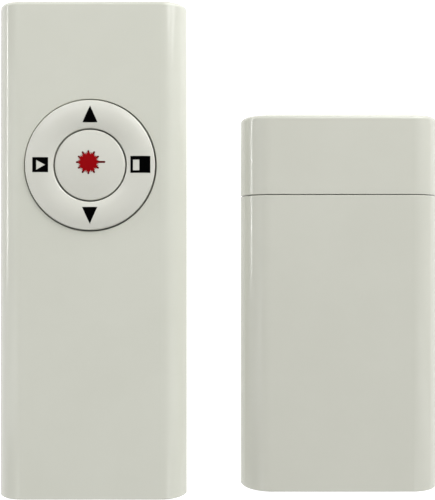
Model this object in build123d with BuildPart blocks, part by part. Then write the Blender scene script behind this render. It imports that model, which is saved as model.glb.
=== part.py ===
from build123d import *
from math import sqrt
import os

# A wireless presentation clicker: a card-like handset and the USB receiver that lies beside it.
# Millimetres. +Z is up, out of the two faces; +Y is the way the laser points.
# The origin is on the desk, under the middle of the pair.

# Covers, shared by both pieces
wall = 1.2                      # wall of every cover
setback = 0.25                  # a back cover stands in by this at the parting line
lip_height = 0.6                # the lip that keys a back cover into its front cover
lip_thickness = 0.5
lip_rim = 0.65                  # wall of the front cover outside the lip
fit = 0.05                      # clearance between pieces that are fitted together
top_end_radius = 0.8            # rounding of the edge at the top end
square_end_radius = 0.25        # the bottom end is cut square, with only its edge broken
back_end_radius = 0.6

# Batteries, whose height sets the handset's thickness
cell_height = 3.2
cell_step = 0.3                 # height of the smaller, negative cap of a cell
cell_cap_inset = 1.2            # of that cap from the can's rim
cell_gap = 0.5                  # between the two cells
pocket_room = 0.2               # round a cell in the tray
sheet = 0.2                     # thickness of the contact metal
spring_room = 0.3               # height left for a contact above and below a cell
tray_roof = 1.0
tray_wall = 0.9                 # least wall of the tray past a cell
tray_end_gap = 0.15             # from the end wall to the tray
tray_room = 0.2                 # round the screw pads in the tray
tray_post_radius = 0.9          # posts on the front cover that hold the tray down
headroom = 0.8                  # between the tray's roof and the front cover

# Contacts that carry the cells' current to the board
contact_width = 3.0
contact_pad = 4.0               # length of the end that presses on a cell
contact_x = 6.0
contact_foot = 1.3
contact_leg_inset = 0.6         # of a contact's leg from the board's edge
contact_slot_gap = 0.15
contact_gap = 0.02              # between a bump and its cell

# Handset
handset_width = 33.9            # across the edge where the covers meet
handset_length = 88.6
handset_thickness = 2 * wall + 2 * spring_room + cell_height + tray_roof + headroom
handset_edge_radius = 4.6       # long corners of the front cover
handset_front_depth = 3.5       # from the face down to the parting line
handset_back_radius = 3.6

# Receiver
receiver_width = 35.2
receiver_length = 65.9          # with its cap on
receiver_thickness = 10.0
receiver_edge_radius = 5.2
receiver_front_depth = 4.7
receiver_back_radius = 4.0
cap_length = 13.95
cap_end_wall = 1.4
seam_gap = 0.15                 # between the cap's mouth and the receiver
seam_edge_radius = 0.12

# How the two pieces lie
pair_gap = 9.85
receiver_offset_y = -9.25       # the receiver's middle lies this far from the handset's middle

# Keys
ring_radius = 11.5
ring_bore_radius = 6.5
ring_rim_height = 0.45          # how far the ring's rims stand above the face
ring_crown = 0.45               # how far its crown stands above its rims
ring_rim_radius = 0.3
ring_wall = 1.1
ring_opening_gap = 0.25         # between the ring and the opening in the front cover
flange_width = 0.6
flange_height = 0.9
button_gap = 0.25               # between the laser button and the ring
button_rim_height = 0.4
button_crown = 0.55
button_wall = 0.95
button_flange_width = 0.75
button_flange_height = 0.5
skirt_gap = 0.45                # from the button's flange up to the ring's inner skirt
flange_step = 0.3               # the button's flange lies this far below the ring's
guide_radius = 0.6              # posts that the button slides on
guide_spacing = 7.2
sleeve_wall = 0.6
button_plunger_radius = 1.2

# The ring's rocking mount
pivot_ring_gap = 0.3            # between the key ring's flange and the pivot ring
pivot_ring_width = 1.2
pivot_ring_height = 1.3
pivot_pin_radius = 0.35
pivot_pin_fit = 0.04
pivot_pin_reach = 1.0
saddle_gap = 0.25
saddle_depth = 1.1
saddle_width = 2.8
saddle_mouth = 0.5              # slot that lets a pin snap into its saddle
pivot_lift = 0.1                # of the pivots above the middle of the room over the board

# Circuit board and snap domes
board_thickness = 0.8
board_height = 1.8              # of the board's underside above the back cover's floor
board_side_room = 1.1           # from the board's edge to the inside of the covers
board_gap = 1.0                 # from the battery tray to the board
board_top_room = 1.45           # from the board to the top end wall
dome_radius = 2.5
dome_height = 0.4
dome_metal = 0.12
dome_spread = 9.0               # from the middle of the ring to a key's dome
dome_sheet_thickness = 0.2
dome_sheet_rim = 0.8            # of the sheet outside the domes
plunger_radius = 1.0
plunger_gap = 0.02
board_post_radius = 1.5
board_pin_radius = 0.6
board_pin_height = 0.7
board_hole_room = 0.2           # round a guide post in the board
board_post_from_side = 1.4      # of a post from the board's long edge
board_post_spread = 11.2        # from the middle of the ring, along Y

# Laser
laser_height = 4.0              # axis above the desk
barrel_length = 10.2
barrel_radius = 2.3
barrel_wall = 0.4
barrel_mouth_radius = 1.2
barrel_lip = 0.6
laser_board_thickness = 0.8
laser_board_size = (4.4, 3.0)   # across X and Z
laser_room = 1.8                # from the ring's upper saddle to the laser's board
diode_radius = 1.65
diode_base = 0.7
diode_can_radius = 1.2
diode_can_length = 1.5
lens_radius = 1.85
lens_thickness = 0.9
lens_crown = 0.35
bezel_radius = 2.55
bezel_flange = 0.2
bezel_flange_thickness = 0.25
bezel_bore_radius = 1.3
bezel_mouth_radius = 1.9
window_radius = 1.65
window_thickness = 0.5
notch_room = 0.9                # beside the laser barrel, in the board's notch
cradle_thickness = 1.0
cradle_spacing = 5.0
lead_size = 0.4
lead_spacing = 3.2

# Battery door
door_width = 24.0
door_length = 46.0
door_gap = 0.1
tongue_width = 0.75
tongue_height = 0.45
rail_width = 1.9
rail_height = 0.7
grip_size = (12.0, 0.6, 0.3)
grip_pitch = 1.3
grip_count = 6
grip_from_end = 7.0
arrow_size = (5.0, 4.0)          # the arrow past the grooves, across and along
arrow_gap = 2.2                 # from the last groove's middle to the arrow's point

# Screws
screw_radius = 0.68
screw_pilot_radius = 0.7
screw_hole_radius = 0.9
screw_length = 4.0
screw_head_radius = 1.3
screw_head_height = 0.8
screw_slot = (1.7, 0.36, 0.4)
well_radius = 1.5
boss_radius = 1.8
handset_well_depth = 2.1        # of a screw head's seat above the desk
upper_boss_from_side = 6.15
upper_boss_from_end = 6.1
lower_boss_from_door_edge = 1.8
pad_width = 5.8
pad_depth = 4.0
receiver_boss_from_side = 6.6
receiver_well_depth = 1.1
receiver_boss_from_ends = (5.3, 5.15)   # from the square end, and from the seam

# USB plug and the receiver's board
plug_width = 12.0
plug_height = 4.5
plug_reach = 12.0               # of the plug beyond the receiver
plug_root = 6.6                 # of the plug inside the receiver
plug_metal = 0.32
plug_opening_gap = 0.1
tongue_plastic = 1.9
plug_window = 2.5
plug_window_spacing = 5.7
plug_contact = (1.0, 0.15, 8.0)
plug_contact_x = (-3.5, -1.0, 1.0, 3.5)
grip_rib_thickness = 0.8
grip_rib_spacing = 7.0
receiver_board_thickness = 1.0
receiver_board_room = 1.4       # between the board and the end walls
receiver_board_side_room = 1.9

# Small parts on the boards
antenna_metal = 0.1
antenna_track = 0.4
antenna_pitch = 1.1
antenna_turns = 5
handset_antenna_reach = 8.0
handset_antenna_from_side = 1.3 # of the board
receiver_antenna_reach = 14.0
chip_chamfer = 0.12
capacitor_size = (1.0, 0.6, 0.5)
# Where each part's middle is, from the board's +X edge and from the laser's board, then its size
handset_chips = {
    "radio_chip": ((-7.6, 2.6), (4.0, 4.0, 0.8)),
    "board_crystal": ((-8.0, 7.6), (3.2, 2.5, 0.7)),
}
# Where each part's middle is, from the middle of the receiver's square end, then its size
receiver_chips = {
    "receiver_controller": ((3.0, 26.0), (7.0, 7.0, 1.0)),
    "receiver_radio_chip": ((-6.0, 16.0), (4.0, 4.0, 0.8)),
    "receiver_crystal": ((-7.0, 28.0), (5.0, 3.2, 1.0)),
}
# Middle, pitch, columns and rows of each group of capacitors, the handset's from the board's +X edge
handset_capacitor_grid = ((-2.8, 1.4), (1.6, 1.2), 2, 3)
receiver_capacitor_grid = ((3.0, 16.0), (1.8, 1.4), 4, 3)

# Places worked out from the sizes above
pair_width = handset_width + pair_gap + receiver_width
handset_x = (handset_width - pair_width) / 2
receiver_x = (pair_width - receiver_width) / 2

handset_top_y = handset_length / 2
handset_bottom_y = -handset_length / 2
face_z = handset_thickness
ceiling_z = face_z - wall
parting_z = face_z - handset_front_depth

# Along the handset, from its top end down: the laser, then the keys, then the batteries
bezel_rear_y = handset_top_y - wall - bezel_flange_thickness
barrel_front_y = bezel_rear_y - fit
barrel_rear_y = barrel_front_y - barrel_length
laser_board_y = barrel_rear_y - laser_board_thickness
flange_radius = ring_radius + flange_width
pivot_ring_inner = flange_radius + pivot_ring_gap
pivot_ring_outer = pivot_ring_inner + pivot_ring_width
saddle_inner = pivot_ring_outer + saddle_gap
ring_y = laser_board_y - laser_room - saddle_depth - saddle_inner
board_top_y = handset_top_y - wall - board_top_room
board_bottom_y = ring_y - saddle_inner - saddle_depth + saddle_gap
tray_top_y = board_bottom_y - board_gap
tray_bottom_y = handset_bottom_y + wall + tray_end_gap
# The cells are as wide as the keys leave room for
cell_radius = (tray_top_y - tray_bottom_y - 2 * tray_wall - cell_gap) / 4
cell_lower_y = tray_bottom_y + tray_wall + cell_radius
cell_upper_y = tray_top_y - tray_wall - cell_radius
boss_mid_y = (cell_lower_y + cell_upper_y) / 2

# Up through the handset
cell_z = wall + spring_room
tray_ceiling_z = cell_z + cell_height + spring_room
tray_top_z = tray_ceiling_z + tray_roof
tray_width = door_width + 2 * door_gap + rail_width
board_z = wall + board_height
board_top_z = board_z + board_thickness
board_width = handset_width - 2 * setback - 2 * wall - 2 * board_side_room
pivot_z = (board_top_z + ceiling_z) / 2 + pivot_lift
plunger_z = board_top_z + dome_height + plunger_gap
button_radius = ring_bore_radius - button_gap
upper_boss_x = handset_width / 2 - upper_boss_from_side
lower_boss_x = door_width / 2 - lower_boss_from_door_edge
board_post_x = board_width / 2 - board_post_from_side
upper_boss_y = handset_top_y - upper_boss_from_end

receiver_top_y = receiver_offset_y + receiver_length / 2
receiver_bottom_y = receiver_offset_y - receiver_length / 2
cap_mouth_y = receiver_top_y - cap_length
seam_y = cap_mouth_y - seam_gap
receiver_parting_z = receiver_thickness - receiver_front_depth
receiver_ceiling_z = receiver_thickness - wall
plug_z = receiver_thickness / 2
receiver_board_top_z = plug_z - plug_height / 2
receiver_board_z = receiver_board_top_z - receiver_board_thickness
receiver_board_bottom_y = receiver_bottom_y + wall + receiver_board_room
receiver_board_top_y = seam_y - wall - fit
receiver_board_width = receiver_width - 2 * setback - 2 * wall - 2 * receiver_board_side_room
receiver_boss_x = receiver_width / 2 - receiver_boss_from_side

handset_upper_spots = [(handset_x + side * upper_boss_x, upper_boss_y) for side in (-1, 1)]
handset_lower_spots = [(handset_x + side * lower_boss_x, boss_mid_y) for side in (-1, 1)]
pad_reach = door_width / 2 + door_gap + rail_width - pad_width / 2
pad_spots = [(handset_x + side * pad_reach, boss_mid_y) for side in (-1, 1)]
receiver_spots = [
    (receiver_x + side * receiver_boss_x, y)
    for side in (-1, 1)
    for y in (receiver_bottom_y + receiver_boss_from_ends[0], seam_y - receiver_boss_from_ends[1])
]
post_spots = [
    (handset_x + side * board_post_x, ring_y + end * board_post_spread)
    for side in (-1, 1)
    for end in (-1, 1)
]
guide_spots = [(handset_x + side * guide_spacing / 2, ring_y) for side in (-1, 1)]
dome_offsets = {
    "dome_up": (0, dome_spread),
    "dome_down": (0, -dome_spread),
    "dome_left": (-dome_spread, 0),
    "dome_right": (dome_spread, 0),
    "dome_laser": (0, 0),
}


def section_plane(x, y):
    # A plane across a piece: its X is the object's X, its Y is the object's Z, and it faces -Y.
    return Plane(origin=(x, y, 0), x_dir=(1, 0, 0), z_dir=(0, -1, 0))


def level(z):
    return Plane.XY.offset(z)


def flat_half(width, radius, depth):
    # Half of the flat face: what the corner arcs leave of the width at the parting line.
    return width / 2 - sqrt(radius**2 - (radius - depth) ** 2)


def front_outline(half, radius, face, edge):
    # A flat face with an arc down each side, closed straight across at the parting line.
    run = sqrt(radius**2 - (radius - (face - edge)) ** 2)
    with BuildSketch() as outline:
        with BuildLine():
            top = Line((-half, face), (half, face))
            right = TangentArc(top @ 1, (half + run, edge), tangent=(1, 0))
            left = TangentArc(top @ 0, (-half - run, edge), tangent=(-1, 0))
            Line(left @ 1, right @ 1)
        make_face()
    return outline.sketch


def back_outline(half, radius, floor, edge):
    # A flat back with rounded corners and straight sides up to the parting line.
    with BuildSketch() as outline:
        with Locations((0, floor)):
            Rectangle(2 * half, edge - floor, align=(Align.CENTER, Align.MIN))
        fillet(outline.vertices().group_by(Axis.Y)[0], radius)
    return outline.sketch


def long_solid(outline, x, top_y, length, edge_z, top_radius, bottom_radius):
    # An outline drawn along Y, with the edges of its two end faces rounded, but not at the parting line.
    with BuildPart() as solid:
        with BuildSketch(section_plane(x, top_y)):
            add(outline)
        extrude(amount=length)
        for end, radius in ((-1, top_radius), (0, bottom_radius)):
            end_edges = solid.faces().filter_by(Axis.Y).sort_by(Axis.Y)[end].edges()
            fillet(end_edges.filter_by(lambda edge: abs(edge.center().Z - edge_z) > fit), radius)
    return solid.part


def spots(places, z):
    return [(x, y, z) for x, y in places]


# Outlines that more than one piece shares
handset_flat = flat_half(handset_width, handset_edge_radius, handset_front_depth)
receiver_flat = flat_half(receiver_width, receiver_edge_radius, receiver_front_depth)
handset_back_half = handset_width / 2 - setback
receiver_back_half = receiver_width / 2 - setback

handset_front_solid = long_solid(
    front_outline(handset_flat, handset_edge_radius, face_z, parting_z),
    handset_x, handset_top_y, handset_length, parting_z, top_end_radius, square_end_radius,
)
handset_back_solid = long_solid(
    back_outline(handset_back_half, handset_back_radius, 0, parting_z),
    handset_x, handset_top_y, handset_length, parting_z, back_end_radius, back_end_radius,
)
receiver_front_outline = front_outline(
    receiver_flat, receiver_edge_radius, receiver_thickness, receiver_parting_z
)
receiver_back_outline = back_outline(receiver_back_half, receiver_back_radius, 0, receiver_parting_z)
receiver_front_hollow = front_outline(
    receiver_flat, receiver_edge_radius - wall, receiver_ceiling_z, receiver_parting_z
)
receiver_back_hollow = back_outline(
    receiver_back_half - wall, receiver_back_radius - wall, wall, receiver_parting_z
)


# ---------------------------------------------------------------- handset covers

with BuildPart() as front_cover:
    add(handset_front_solid)
    # Hollow, and the rebate that takes the back cover's lip
    with BuildSketch(section_plane(handset_x, handset_top_y - wall)):
        add(front_outline(handset_flat, handset_edge_radius - wall, ceiling_z, parting_z))
    extrude(amount=handset_length - 2 * wall, mode=Mode.SUBTRACT)
    with BuildSketch(level(parting_z)):
        with Locations((handset_x, 0)):
            Rectangle(handset_width - 2 * lip_rim, handset_length - 2 * lip_rim)
    extrude(amount=lip_height + fit, mode=Mode.SUBTRACT)
    # Screw bosses, and posts that hold the battery tray down
    with BuildSketch(level(board_top_z)):
        with Locations(*handset_upper_spots):
            Circle(boss_radius)
    extrude(until=Until.NEXT)
    with BuildSketch(level(board_z)):
        with Locations(*handset_lower_spots):
            Circle(boss_radius)
    extrude(until=Until.NEXT)
    with BuildSketch(level(tray_top_z + fit)):
        for end_y in (tray_bottom_y + boss_radius, tray_top_y - boss_radius):
            with Locations(*[(x, end_y) for x, _ in handset_upper_spots]):
                Circle(tray_post_radius)
    extrude(until=Until.NEXT)
    with Locations(*spots(handset_upper_spots, board_top_z), *spots(handset_lower_spots, board_z)):
        Cylinder(
            screw_pilot_radius, screw_length, mode=Mode.SUBTRACT,
            align=(Align.CENTER, Align.CENTER, Align.MIN),
        )
    # Snap saddles for the pivot ring's pins, one above and one below the keys
    for end in (-1, 1):
        saddle_y = ring_y + end * (saddle_inner + saddle_depth / 2)
        with BuildSketch(level(ceiling_z)):
            with Locations((handset_x, saddle_y)):
                Rectangle(saddle_width, saddle_depth)
        extrude(amount=-(ceiling_z - pivot_z + pivot_ring_height / 2))
        with BuildSketch(section_plane(handset_x, saddle_y)):
            with Locations((0, pivot_z)):
                Circle(pivot_pin_radius + pivot_pin_fit)
                Rectangle(saddle_mouth, pivot_ring_height, align=(Align.CENTER, Align.MAX))
        extrude(amount=saddle_depth, both=True, mode=Mode.SUBTRACT)
    # The opening for the keys, with its edge just broken
    with Locations((handset_x, ring_y, face_z)):
        Hole(ring_radius + ring_opening_gap, depth=wall + fit)
    opening_edges = front_cover.edges().filter_by(GeomType.CIRCLE).sort_by(Axis.Z)
    fillet(opening_edges[-1], seam_edge_radius)
    # The hole for the laser's bezel
    with BuildSketch(section_plane(handset_x, handset_top_y)):
        with Locations((0, laser_height)):
            Circle(bezel_radius + fit)
    extrude(amount=2 * wall, mode=Mode.SUBTRACT)
front_cover.part.label = "front_cover"

with BuildPart() as back_cover:
    add(handset_back_solid)
    with BuildSketch(section_plane(handset_x, handset_top_y - wall)):
        add(back_outline(handset_back_half - wall, handset_back_radius - wall, wall, parting_z))
    extrude(amount=handset_length - 2 * wall, mode=Mode.SUBTRACT)
    # The lip stands on the wall, all the way round
    with BuildSketch(level(parting_z)):
        with Locations((handset_x, 0)):
            lip_width = handset_width - 2 * (lip_rim + fit)
            lip_length = handset_length - 2 * (lip_rim + fit)
            Rectangle(lip_width, lip_length)
            Rectangle(lip_width - 2 * lip_thickness, lip_length - 2 * lip_thickness, mode=Mode.SUBTRACT)
    extrude(amount=lip_height)
    # The opening for the battery door, through the floor, the end wall and the lip
    with BuildSketch(level(0)):
        with Locations((handset_x, handset_bottom_y)):
            Rectangle(
                door_width + 2 * door_gap, door_length + door_gap, align=(Align.CENTER, Align.MIN)
            )
    extrude(amount=parting_z + lip_height, mode=Mode.SUBTRACT)
    # Rails beside and above that opening, with a groove for the door's tongue
    with BuildSketch(level(wall)):
        with Locations((handset_x, handset_bottom_y + wall)):
            rail_outer = door_width + 2 * door_gap + 2 * rail_width
            Rectangle(rail_outer, door_length - wall + rail_width, align=(Align.CENTER, Align.MIN))
            Rectangle(
                door_width + 2 * door_gap, door_length - wall + door_gap,
                align=(Align.CENTER, Align.MIN), mode=Mode.SUBTRACT,
            )
    extrude(amount=rail_height)
    # Pads under the two lower screws
    with BuildSketch(level(wall + door_gap)):
        with Locations(*pad_spots):
            Rectangle(pad_width, pad_depth)
    extrude(amount=board_z - fit - wall - door_gap)
    with BuildSketch(level(wall - tongue_height - fit)):
        with Locations((handset_x, handset_bottom_y)):
            Rectangle(
                door_width + 2 * (tongue_width + 2 * fit), door_length + tongue_width + 2 * fit,
                align=(Align.CENTER, Align.MIN),
            )
    extrude(amount=tongue_height + 2 * fit, mode=Mode.SUBTRACT)
    # Bosses under the upper screws, posts and pins for the board, guide posts for the laser button
    with BuildSketch(level(wall)):
        with Locations(*handset_upper_spots):
            Circle(boss_radius + sleeve_wall)
        with Locations(*post_spots):
            Circle(board_post_radius)
    extrude(amount=board_height)
    with BuildSketch(level(board_z)):
        with Locations(*post_spots):
            Circle(board_pin_radius)
    extrude(amount=board_pin_height)
    with BuildSketch(level(wall)):
        with Locations(*guide_spots):
            Circle(guide_radius)
    extrude(amount=ceiling_z - wall)
    # Wells for the screw heads, and the screws' holes
    with BuildSketch(level(0)):
        with Locations(*handset_upper_spots, *handset_lower_spots):
            Circle(well_radius)
    extrude(amount=handset_well_depth, mode=Mode.SUBTRACT)
    with BuildSketch(level(0)):
        with Locations(*handset_upper_spots, *handset_lower_spots):
            Circle(screw_hole_radius)
    extrude(amount=board_z, mode=Mode.SUBTRACT)
    # Cradle for the laser barrel, between the notch's sides
    for rib in (-1, 1):
        rib_y = (barrel_rear_y + barrel_front_y) / 2 + rib * cradle_spacing / 2
        with BuildSketch(section_plane(handset_x, rib_y + cradle_thickness / 2)):
            with Locations((0, wall)):
                Rectangle(
                    2 * barrel_radius + notch_room, laser_height - wall - notch_room,
                    align=(Align.CENTER, Align.MIN),
                )
            with Locations((0, laser_height)):
                Circle(barrel_radius + fit, mode=Mode.SUBTRACT)
        extrude(amount=cradle_thickness)
    with BuildSketch(section_plane(handset_x, handset_top_y)):
        with Locations((0, laser_height)):
            Circle(bezel_radius + fit)
    extrude(amount=2 * wall, mode=Mode.SUBTRACT)
back_cover.part.label = "back_cover"

with BuildPart() as battery_door:
    add(handset_back_solid)
    # What the door keeps of the back: a plate and its piece of the end wall
    with BuildSketch(level(0)):
        with Locations((handset_x, handset_bottom_y)):
            Rectangle(door_width, door_length, align=(Align.CENTER, Align.MIN))
    extrude(amount=parting_z - fit, mode=Mode.INTERSECT)
    with BuildSketch(level(wall)):
        with Locations((handset_x, handset_bottom_y + wall)):
            Rectangle(door_width, door_length, align=(Align.CENTER, Align.MIN))
    extrude(amount=parting_z, mode=Mode.SUBTRACT)
    # The tongue along its sides and its far end
    with BuildSketch(level(wall - tongue_height)):
        with Locations((handset_x, handset_bottom_y)):
            Rectangle(
                door_width + 2 * tongue_width, door_length + tongue_width,
                align=(Align.CENTER, Align.MIN),
            )
    extrude(amount=tongue_height)
    # Grip grooves near the end that the thumb pushes towards
    with BuildSketch(level(0)):
        with Locations((handset_x, handset_bottom_y + grip_from_end)):
            with GridLocations(0, grip_pitch, 1, grip_count):
                Rectangle(grip_size[0], grip_size[1])
    extrude(amount=grip_size[2], mode=Mode.SUBTRACT)
    # An arrow past the grooves, which points the way that the door slides off
    arrow_y = handset_bottom_y + grip_from_end + grip_pitch * (grip_count - 1) / 2 + arrow_gap
    with BuildSketch(level(0)):
        Polygon(
            (handset_x, arrow_y),
            (handset_x + arrow_size[0] / 2, arrow_y + arrow_size[1]),
            (handset_x - arrow_size[0] / 2, arrow_y + arrow_size[1]),
            align=None,
        )
    extrude(amount=grip_size[2], mode=Mode.SUBTRACT)
battery_door.part.label = "battery_door"


# ---------------------------------------------------------------- batteries and contacts

def coin_cell(y, negative_up):
    # A steel can with the smaller negative cap on one side
    can_z = cell_z if negative_up else cell_z + cell_step
    cap_z = cell_z + cell_height - cell_step if negative_up else cell_z
    with BuildPart() as cell:
        with BuildSketch(level(can_z)):
            with Locations((handset_x, y)):
                Circle(cell_radius)
        extrude(amount=cell_height - cell_step)
        fillet(cell.edges(), cell_step)
        with BuildSketch(level(cap_z)):
            with Locations((handset_x, y)):
                Circle(cell_radius - cell_cap_inset)
        extrude(amount=cell_step)
    return cell.part


cell_lower = coin_cell(cell_lower_y, negative_up=False)
cell_lower.label = "cell_lower"
cell_upper = coin_cell(cell_upper_y, negative_up=True)
cell_upper.label = "cell_upper"

contact_leg_y = board_bottom_y + contact_leg_inset


def tray_contact(x, pad_y):
    # One bent strip: on the cell, up through the tray's roof, along it and down to the board
    pad_z = cell_z + cell_height + spring_room / 2
    strip_z = tray_top_z + fit + sheet / 2
    with BuildPart() as contact:
        with BuildSketch(Plane.YZ.offset(x - contact_width / 2)):
            with BuildLine():
                Polyline(
                    (pad_y - contact_pad, pad_z), (pad_y, pad_z), (pad_y, strip_z),
                    (contact_leg_y, strip_z), (contact_leg_y, board_top_z + sheet / 2),
                    (contact_leg_y + contact_foot, board_top_z + sheet / 2),
                )
            trace(line_width=sheet)
        extrude(amount=contact_width)
    return contact.part


contact_places = {
    "positive_contact": (handset_x - contact_x, cell_lower_y),
    "negative_contact": (handset_x + contact_x, cell_upper_y + contact_pad / 2),
}
contacts = {}
for name, (x, y) in contact_places.items():
    contacts[name] = tray_contact(x, y)
    contacts[name].label = name

with BuildPart() as battery_tray:
    tray_z = wall + rail_height + fit
    with BuildSketch(level(tray_z)):
        with Locations((handset_x, tray_bottom_y)):
            Rectangle(
                tray_width, tray_top_y - tray_bottom_y, align=(Align.CENTER, Align.MIN)
            )
    extrude(amount=tray_top_z - tray_z)
    # A round pocket for each cell, open to the door
    with BuildSketch(level(tray_z)):
        with Locations((handset_x, cell_lower_y), (handset_x, cell_upper_y)):
            Circle(cell_radius + pocket_room)
    extrude(amount=tray_ceiling_z - tray_z, mode=Mode.SUBTRACT)
    # Room for the screw pads and bosses, and slots for the contacts
    with BuildSketch(level(tray_z)):
        with Locations(*pad_spots):
            Rectangle(pad_width + tray_room, pad_depth + tray_room)
    extrude(amount=board_z - tray_z, mode=Mode.SUBTRACT)
    with BuildSketch(level(tray_z)):
        with Locations(*handset_lower_spots):
            Circle(boss_radius + 2 * fit)
        for x, pad_y in contact_places.values():
            with Locations((x, pad_y)):
                Rectangle(contact_width + 2 * contact_slot_gap, sheet + 2 * contact_slot_gap)
    extrude(amount=tray_top_z - tray_z, mode=Mode.SUBTRACT)
battery_tray.part.label = "battery_tray"

with BuildPart() as door_contact:
    # A strip on the door with a spring bump under each cell
    with BuildSketch(level(wall)):
        with Locations((handset_x, boss_mid_y)):
            Rectangle(2 * contact_width, 2 * cell_radius + 2 * contact_pad)
    extrude(amount=sheet)
    with BuildSketch(level(wall + sheet)):
        with Locations((handset_x, cell_lower_y), (handset_x, cell_upper_y)):
            Circle(contact_width / 2)
    extrude(amount=spring_room - sheet - contact_gap)
door_contact.part.label = "door_contact"


# ---------------------------------------------------------------- the keys

ring_axis = Axis((handset_x, ring_y, 0), (0, 0, 1))
ring_middle = (ring_radius + ring_bore_radius) / 2
rim_z = face_z + ring_rim_height
ring_ceiling_z = rim_z - ring_wall
flange_top_z = pivot_z + flange_height / 2
flange_bottom_z = pivot_z - flange_height / 2
button_flange_z = flange_bottom_z - flange_step
button_flange_top_z = button_flange_z + button_flange_height
skirt_z = button_flange_top_z + skirt_gap

with BuildPart() as key_ring:
    with BuildSketch(section_plane(handset_x, ring_y)) as ring_profile:
        with BuildLine():
            crown = ThreePointArc(
                (ring_bore_radius, rim_z), (ring_middle, rim_z + ring_crown), (ring_radius, rim_z)
            )
            Polyline(
                crown @ 1, (ring_radius, flange_top_z), (flange_radius, flange_top_z),
                (flange_radius, flange_bottom_z), (ring_radius - ring_wall, flange_bottom_z),
                (ring_radius - ring_wall, ring_ceiling_z),
                (ring_bore_radius + ring_wall, ring_ceiling_z), (ring_bore_radius + ring_wall, skirt_z),
                (ring_bore_radius, skirt_z), crown @ 0,
            )
        make_face()
        fillet(ring_profile.vertices().group_by(Axis.Y)[-1], ring_rim_radius)
    revolve(axis=ring_axis)
    # A plunger over each of the four domes
    with BuildSketch(level(plunger_z)):
        with Locations((handset_x, ring_y)):
            with PolarLocations(dome_spread, 4):
                Circle(plunger_radius)
    extrude(amount=ring_ceiling_z + fit - plunger_z)
    # Two pins along X, which turn in the pivot ring
    for side in (-1, 1):
        pin_x = handset_x + side * (flange_radius - ring_wall / 2)
        with BuildSketch(Plane.YZ.offset(pin_x)):
            with Locations((ring_y, pivot_z)):
                Circle(pivot_pin_radius)
        extrude(amount=side * (ring_wall / 2 + pivot_ring_gap + pivot_ring_width - 2 * fit))
key_ring.part.label = "key_ring"

with BuildPart() as pivot_ring:
    with BuildSketch(level(pivot_z - pivot_ring_height / 2)):
        with Locations((handset_x, ring_y)):
            Circle(pivot_ring_outer)
            Circle(pivot_ring_inner, mode=Mode.SUBTRACT)
    extrude(amount=pivot_ring_height)
    with BuildSketch(Plane.YZ.offset(handset_x)):
        with Locations((ring_y, pivot_z)):
            Circle(pivot_pin_radius + pivot_pin_fit)
    extrude(amount=2 * pivot_ring_outer, both=True, mode=Mode.SUBTRACT)
    # Two pins along Y, which turn in the front cover's saddles
    for end in (-1, 1):
        pin_y = ring_y + end * (pivot_ring_outer - pivot_ring_width / 2)
        with BuildSketch(section_plane(handset_x, pin_y)):
            with Locations((0, pivot_z)):
                Circle(pivot_pin_radius)
        extrude(amount=-end * (pivot_ring_width / 2 + saddle_gap + pivot_pin_reach))
pivot_ring.part.label = "pivot_ring"

with BuildPart() as laser_button:
    button_rim_z = face_z + button_rim_height
    button_ceiling_z = button_rim_z - button_wall
    button_flange_radius = button_radius + button_flange_width
    with BuildSketch(section_plane(handset_x, ring_y)) as button_profile:
        with BuildLine():
            dome = TangentArc(
                (0, button_rim_z + button_crown), (button_radius, button_rim_z), tangent=(1, 0)
            )
            Polyline(
                dome @ 1, (button_radius, button_flange_top_z),
                (button_flange_radius, button_flange_top_z), (button_flange_radius, button_flange_z),
                (button_radius - button_wall, button_flange_z),
                (button_radius - button_wall, button_ceiling_z), (0, button_ceiling_z), dome @ 0,
            )
        make_face()
        rim_corner = button_profile.vertices().filter_by_position(
            Axis.Y, button_rim_z - fit, button_rim_z + fit
        )
        fillet(rim_corner, ring_rim_radius)
    revolve(axis=ring_axis)
    with BuildSketch(level(plunger_z)):
        with Locations((handset_x, ring_y)):
            Circle(button_plunger_radius)
    extrude(amount=button_ceiling_z + fit - plunger_z)
    # Sleeves that slide on the back cover's two guide posts
    with BuildSketch(level(button_flange_z)):
        with Locations(*guide_spots):
            Circle(guide_radius + fit + sleeve_wall)
    extrude(amount=button_ceiling_z + fit - button_flange_z)
    with BuildSketch(level(button_flange_z)):
        with Locations(*guide_spots):
            Circle(guide_radius + fit)
    extrude(amount=button_ceiling_z + fit - button_flange_z, mode=Mode.SUBTRACT)
laser_button.part.label = "laser_button"


# ---------------------------------------------------------------- main board

def serpentine(turns, reach, z, left, bottom):
    # A folded antenna track: parallel runs joined at alternate ends
    with BuildPart() as track:
        with BuildSketch(level(z)):
            for turn in range(turns):
                with Locations((left, bottom + turn * antenna_pitch)):
                    Rectangle(reach, antenna_track, align=(Align.MIN, Align.CENTER))
            for turn in range(turns - 1):
                joint_x = left if turn % 2 else left + reach - antenna_track
                with Locations((joint_x, bottom + turn * antenna_pitch)):
                    Rectangle(antenna_track, antenna_pitch, align=(Align.MIN, Align.MIN))
        extrude(amount=antenna_metal)
    return track.part


def chip(x, y, z, size):
    with BuildPart() as package:
        with BuildSketch(level(z)):
            with Locations((x, y)):
                Rectangle(size[0], size[1])
        extrude(amount=size[2])
        chamfer(package.edges().group_by(Axis.Z)[-1], chip_chamfer)
    return package.part


def capacitors(x, y, z, pitch, columns, rows):
    with BuildPart() as row:
        with BuildSketch(level(z)):
            with Locations((x, y)):
                with GridLocations(*pitch, columns, rows):
                    Rectangle(*capacitor_size[:2])
        extrude(amount=capacitor_size[2])
    return row.part


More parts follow.
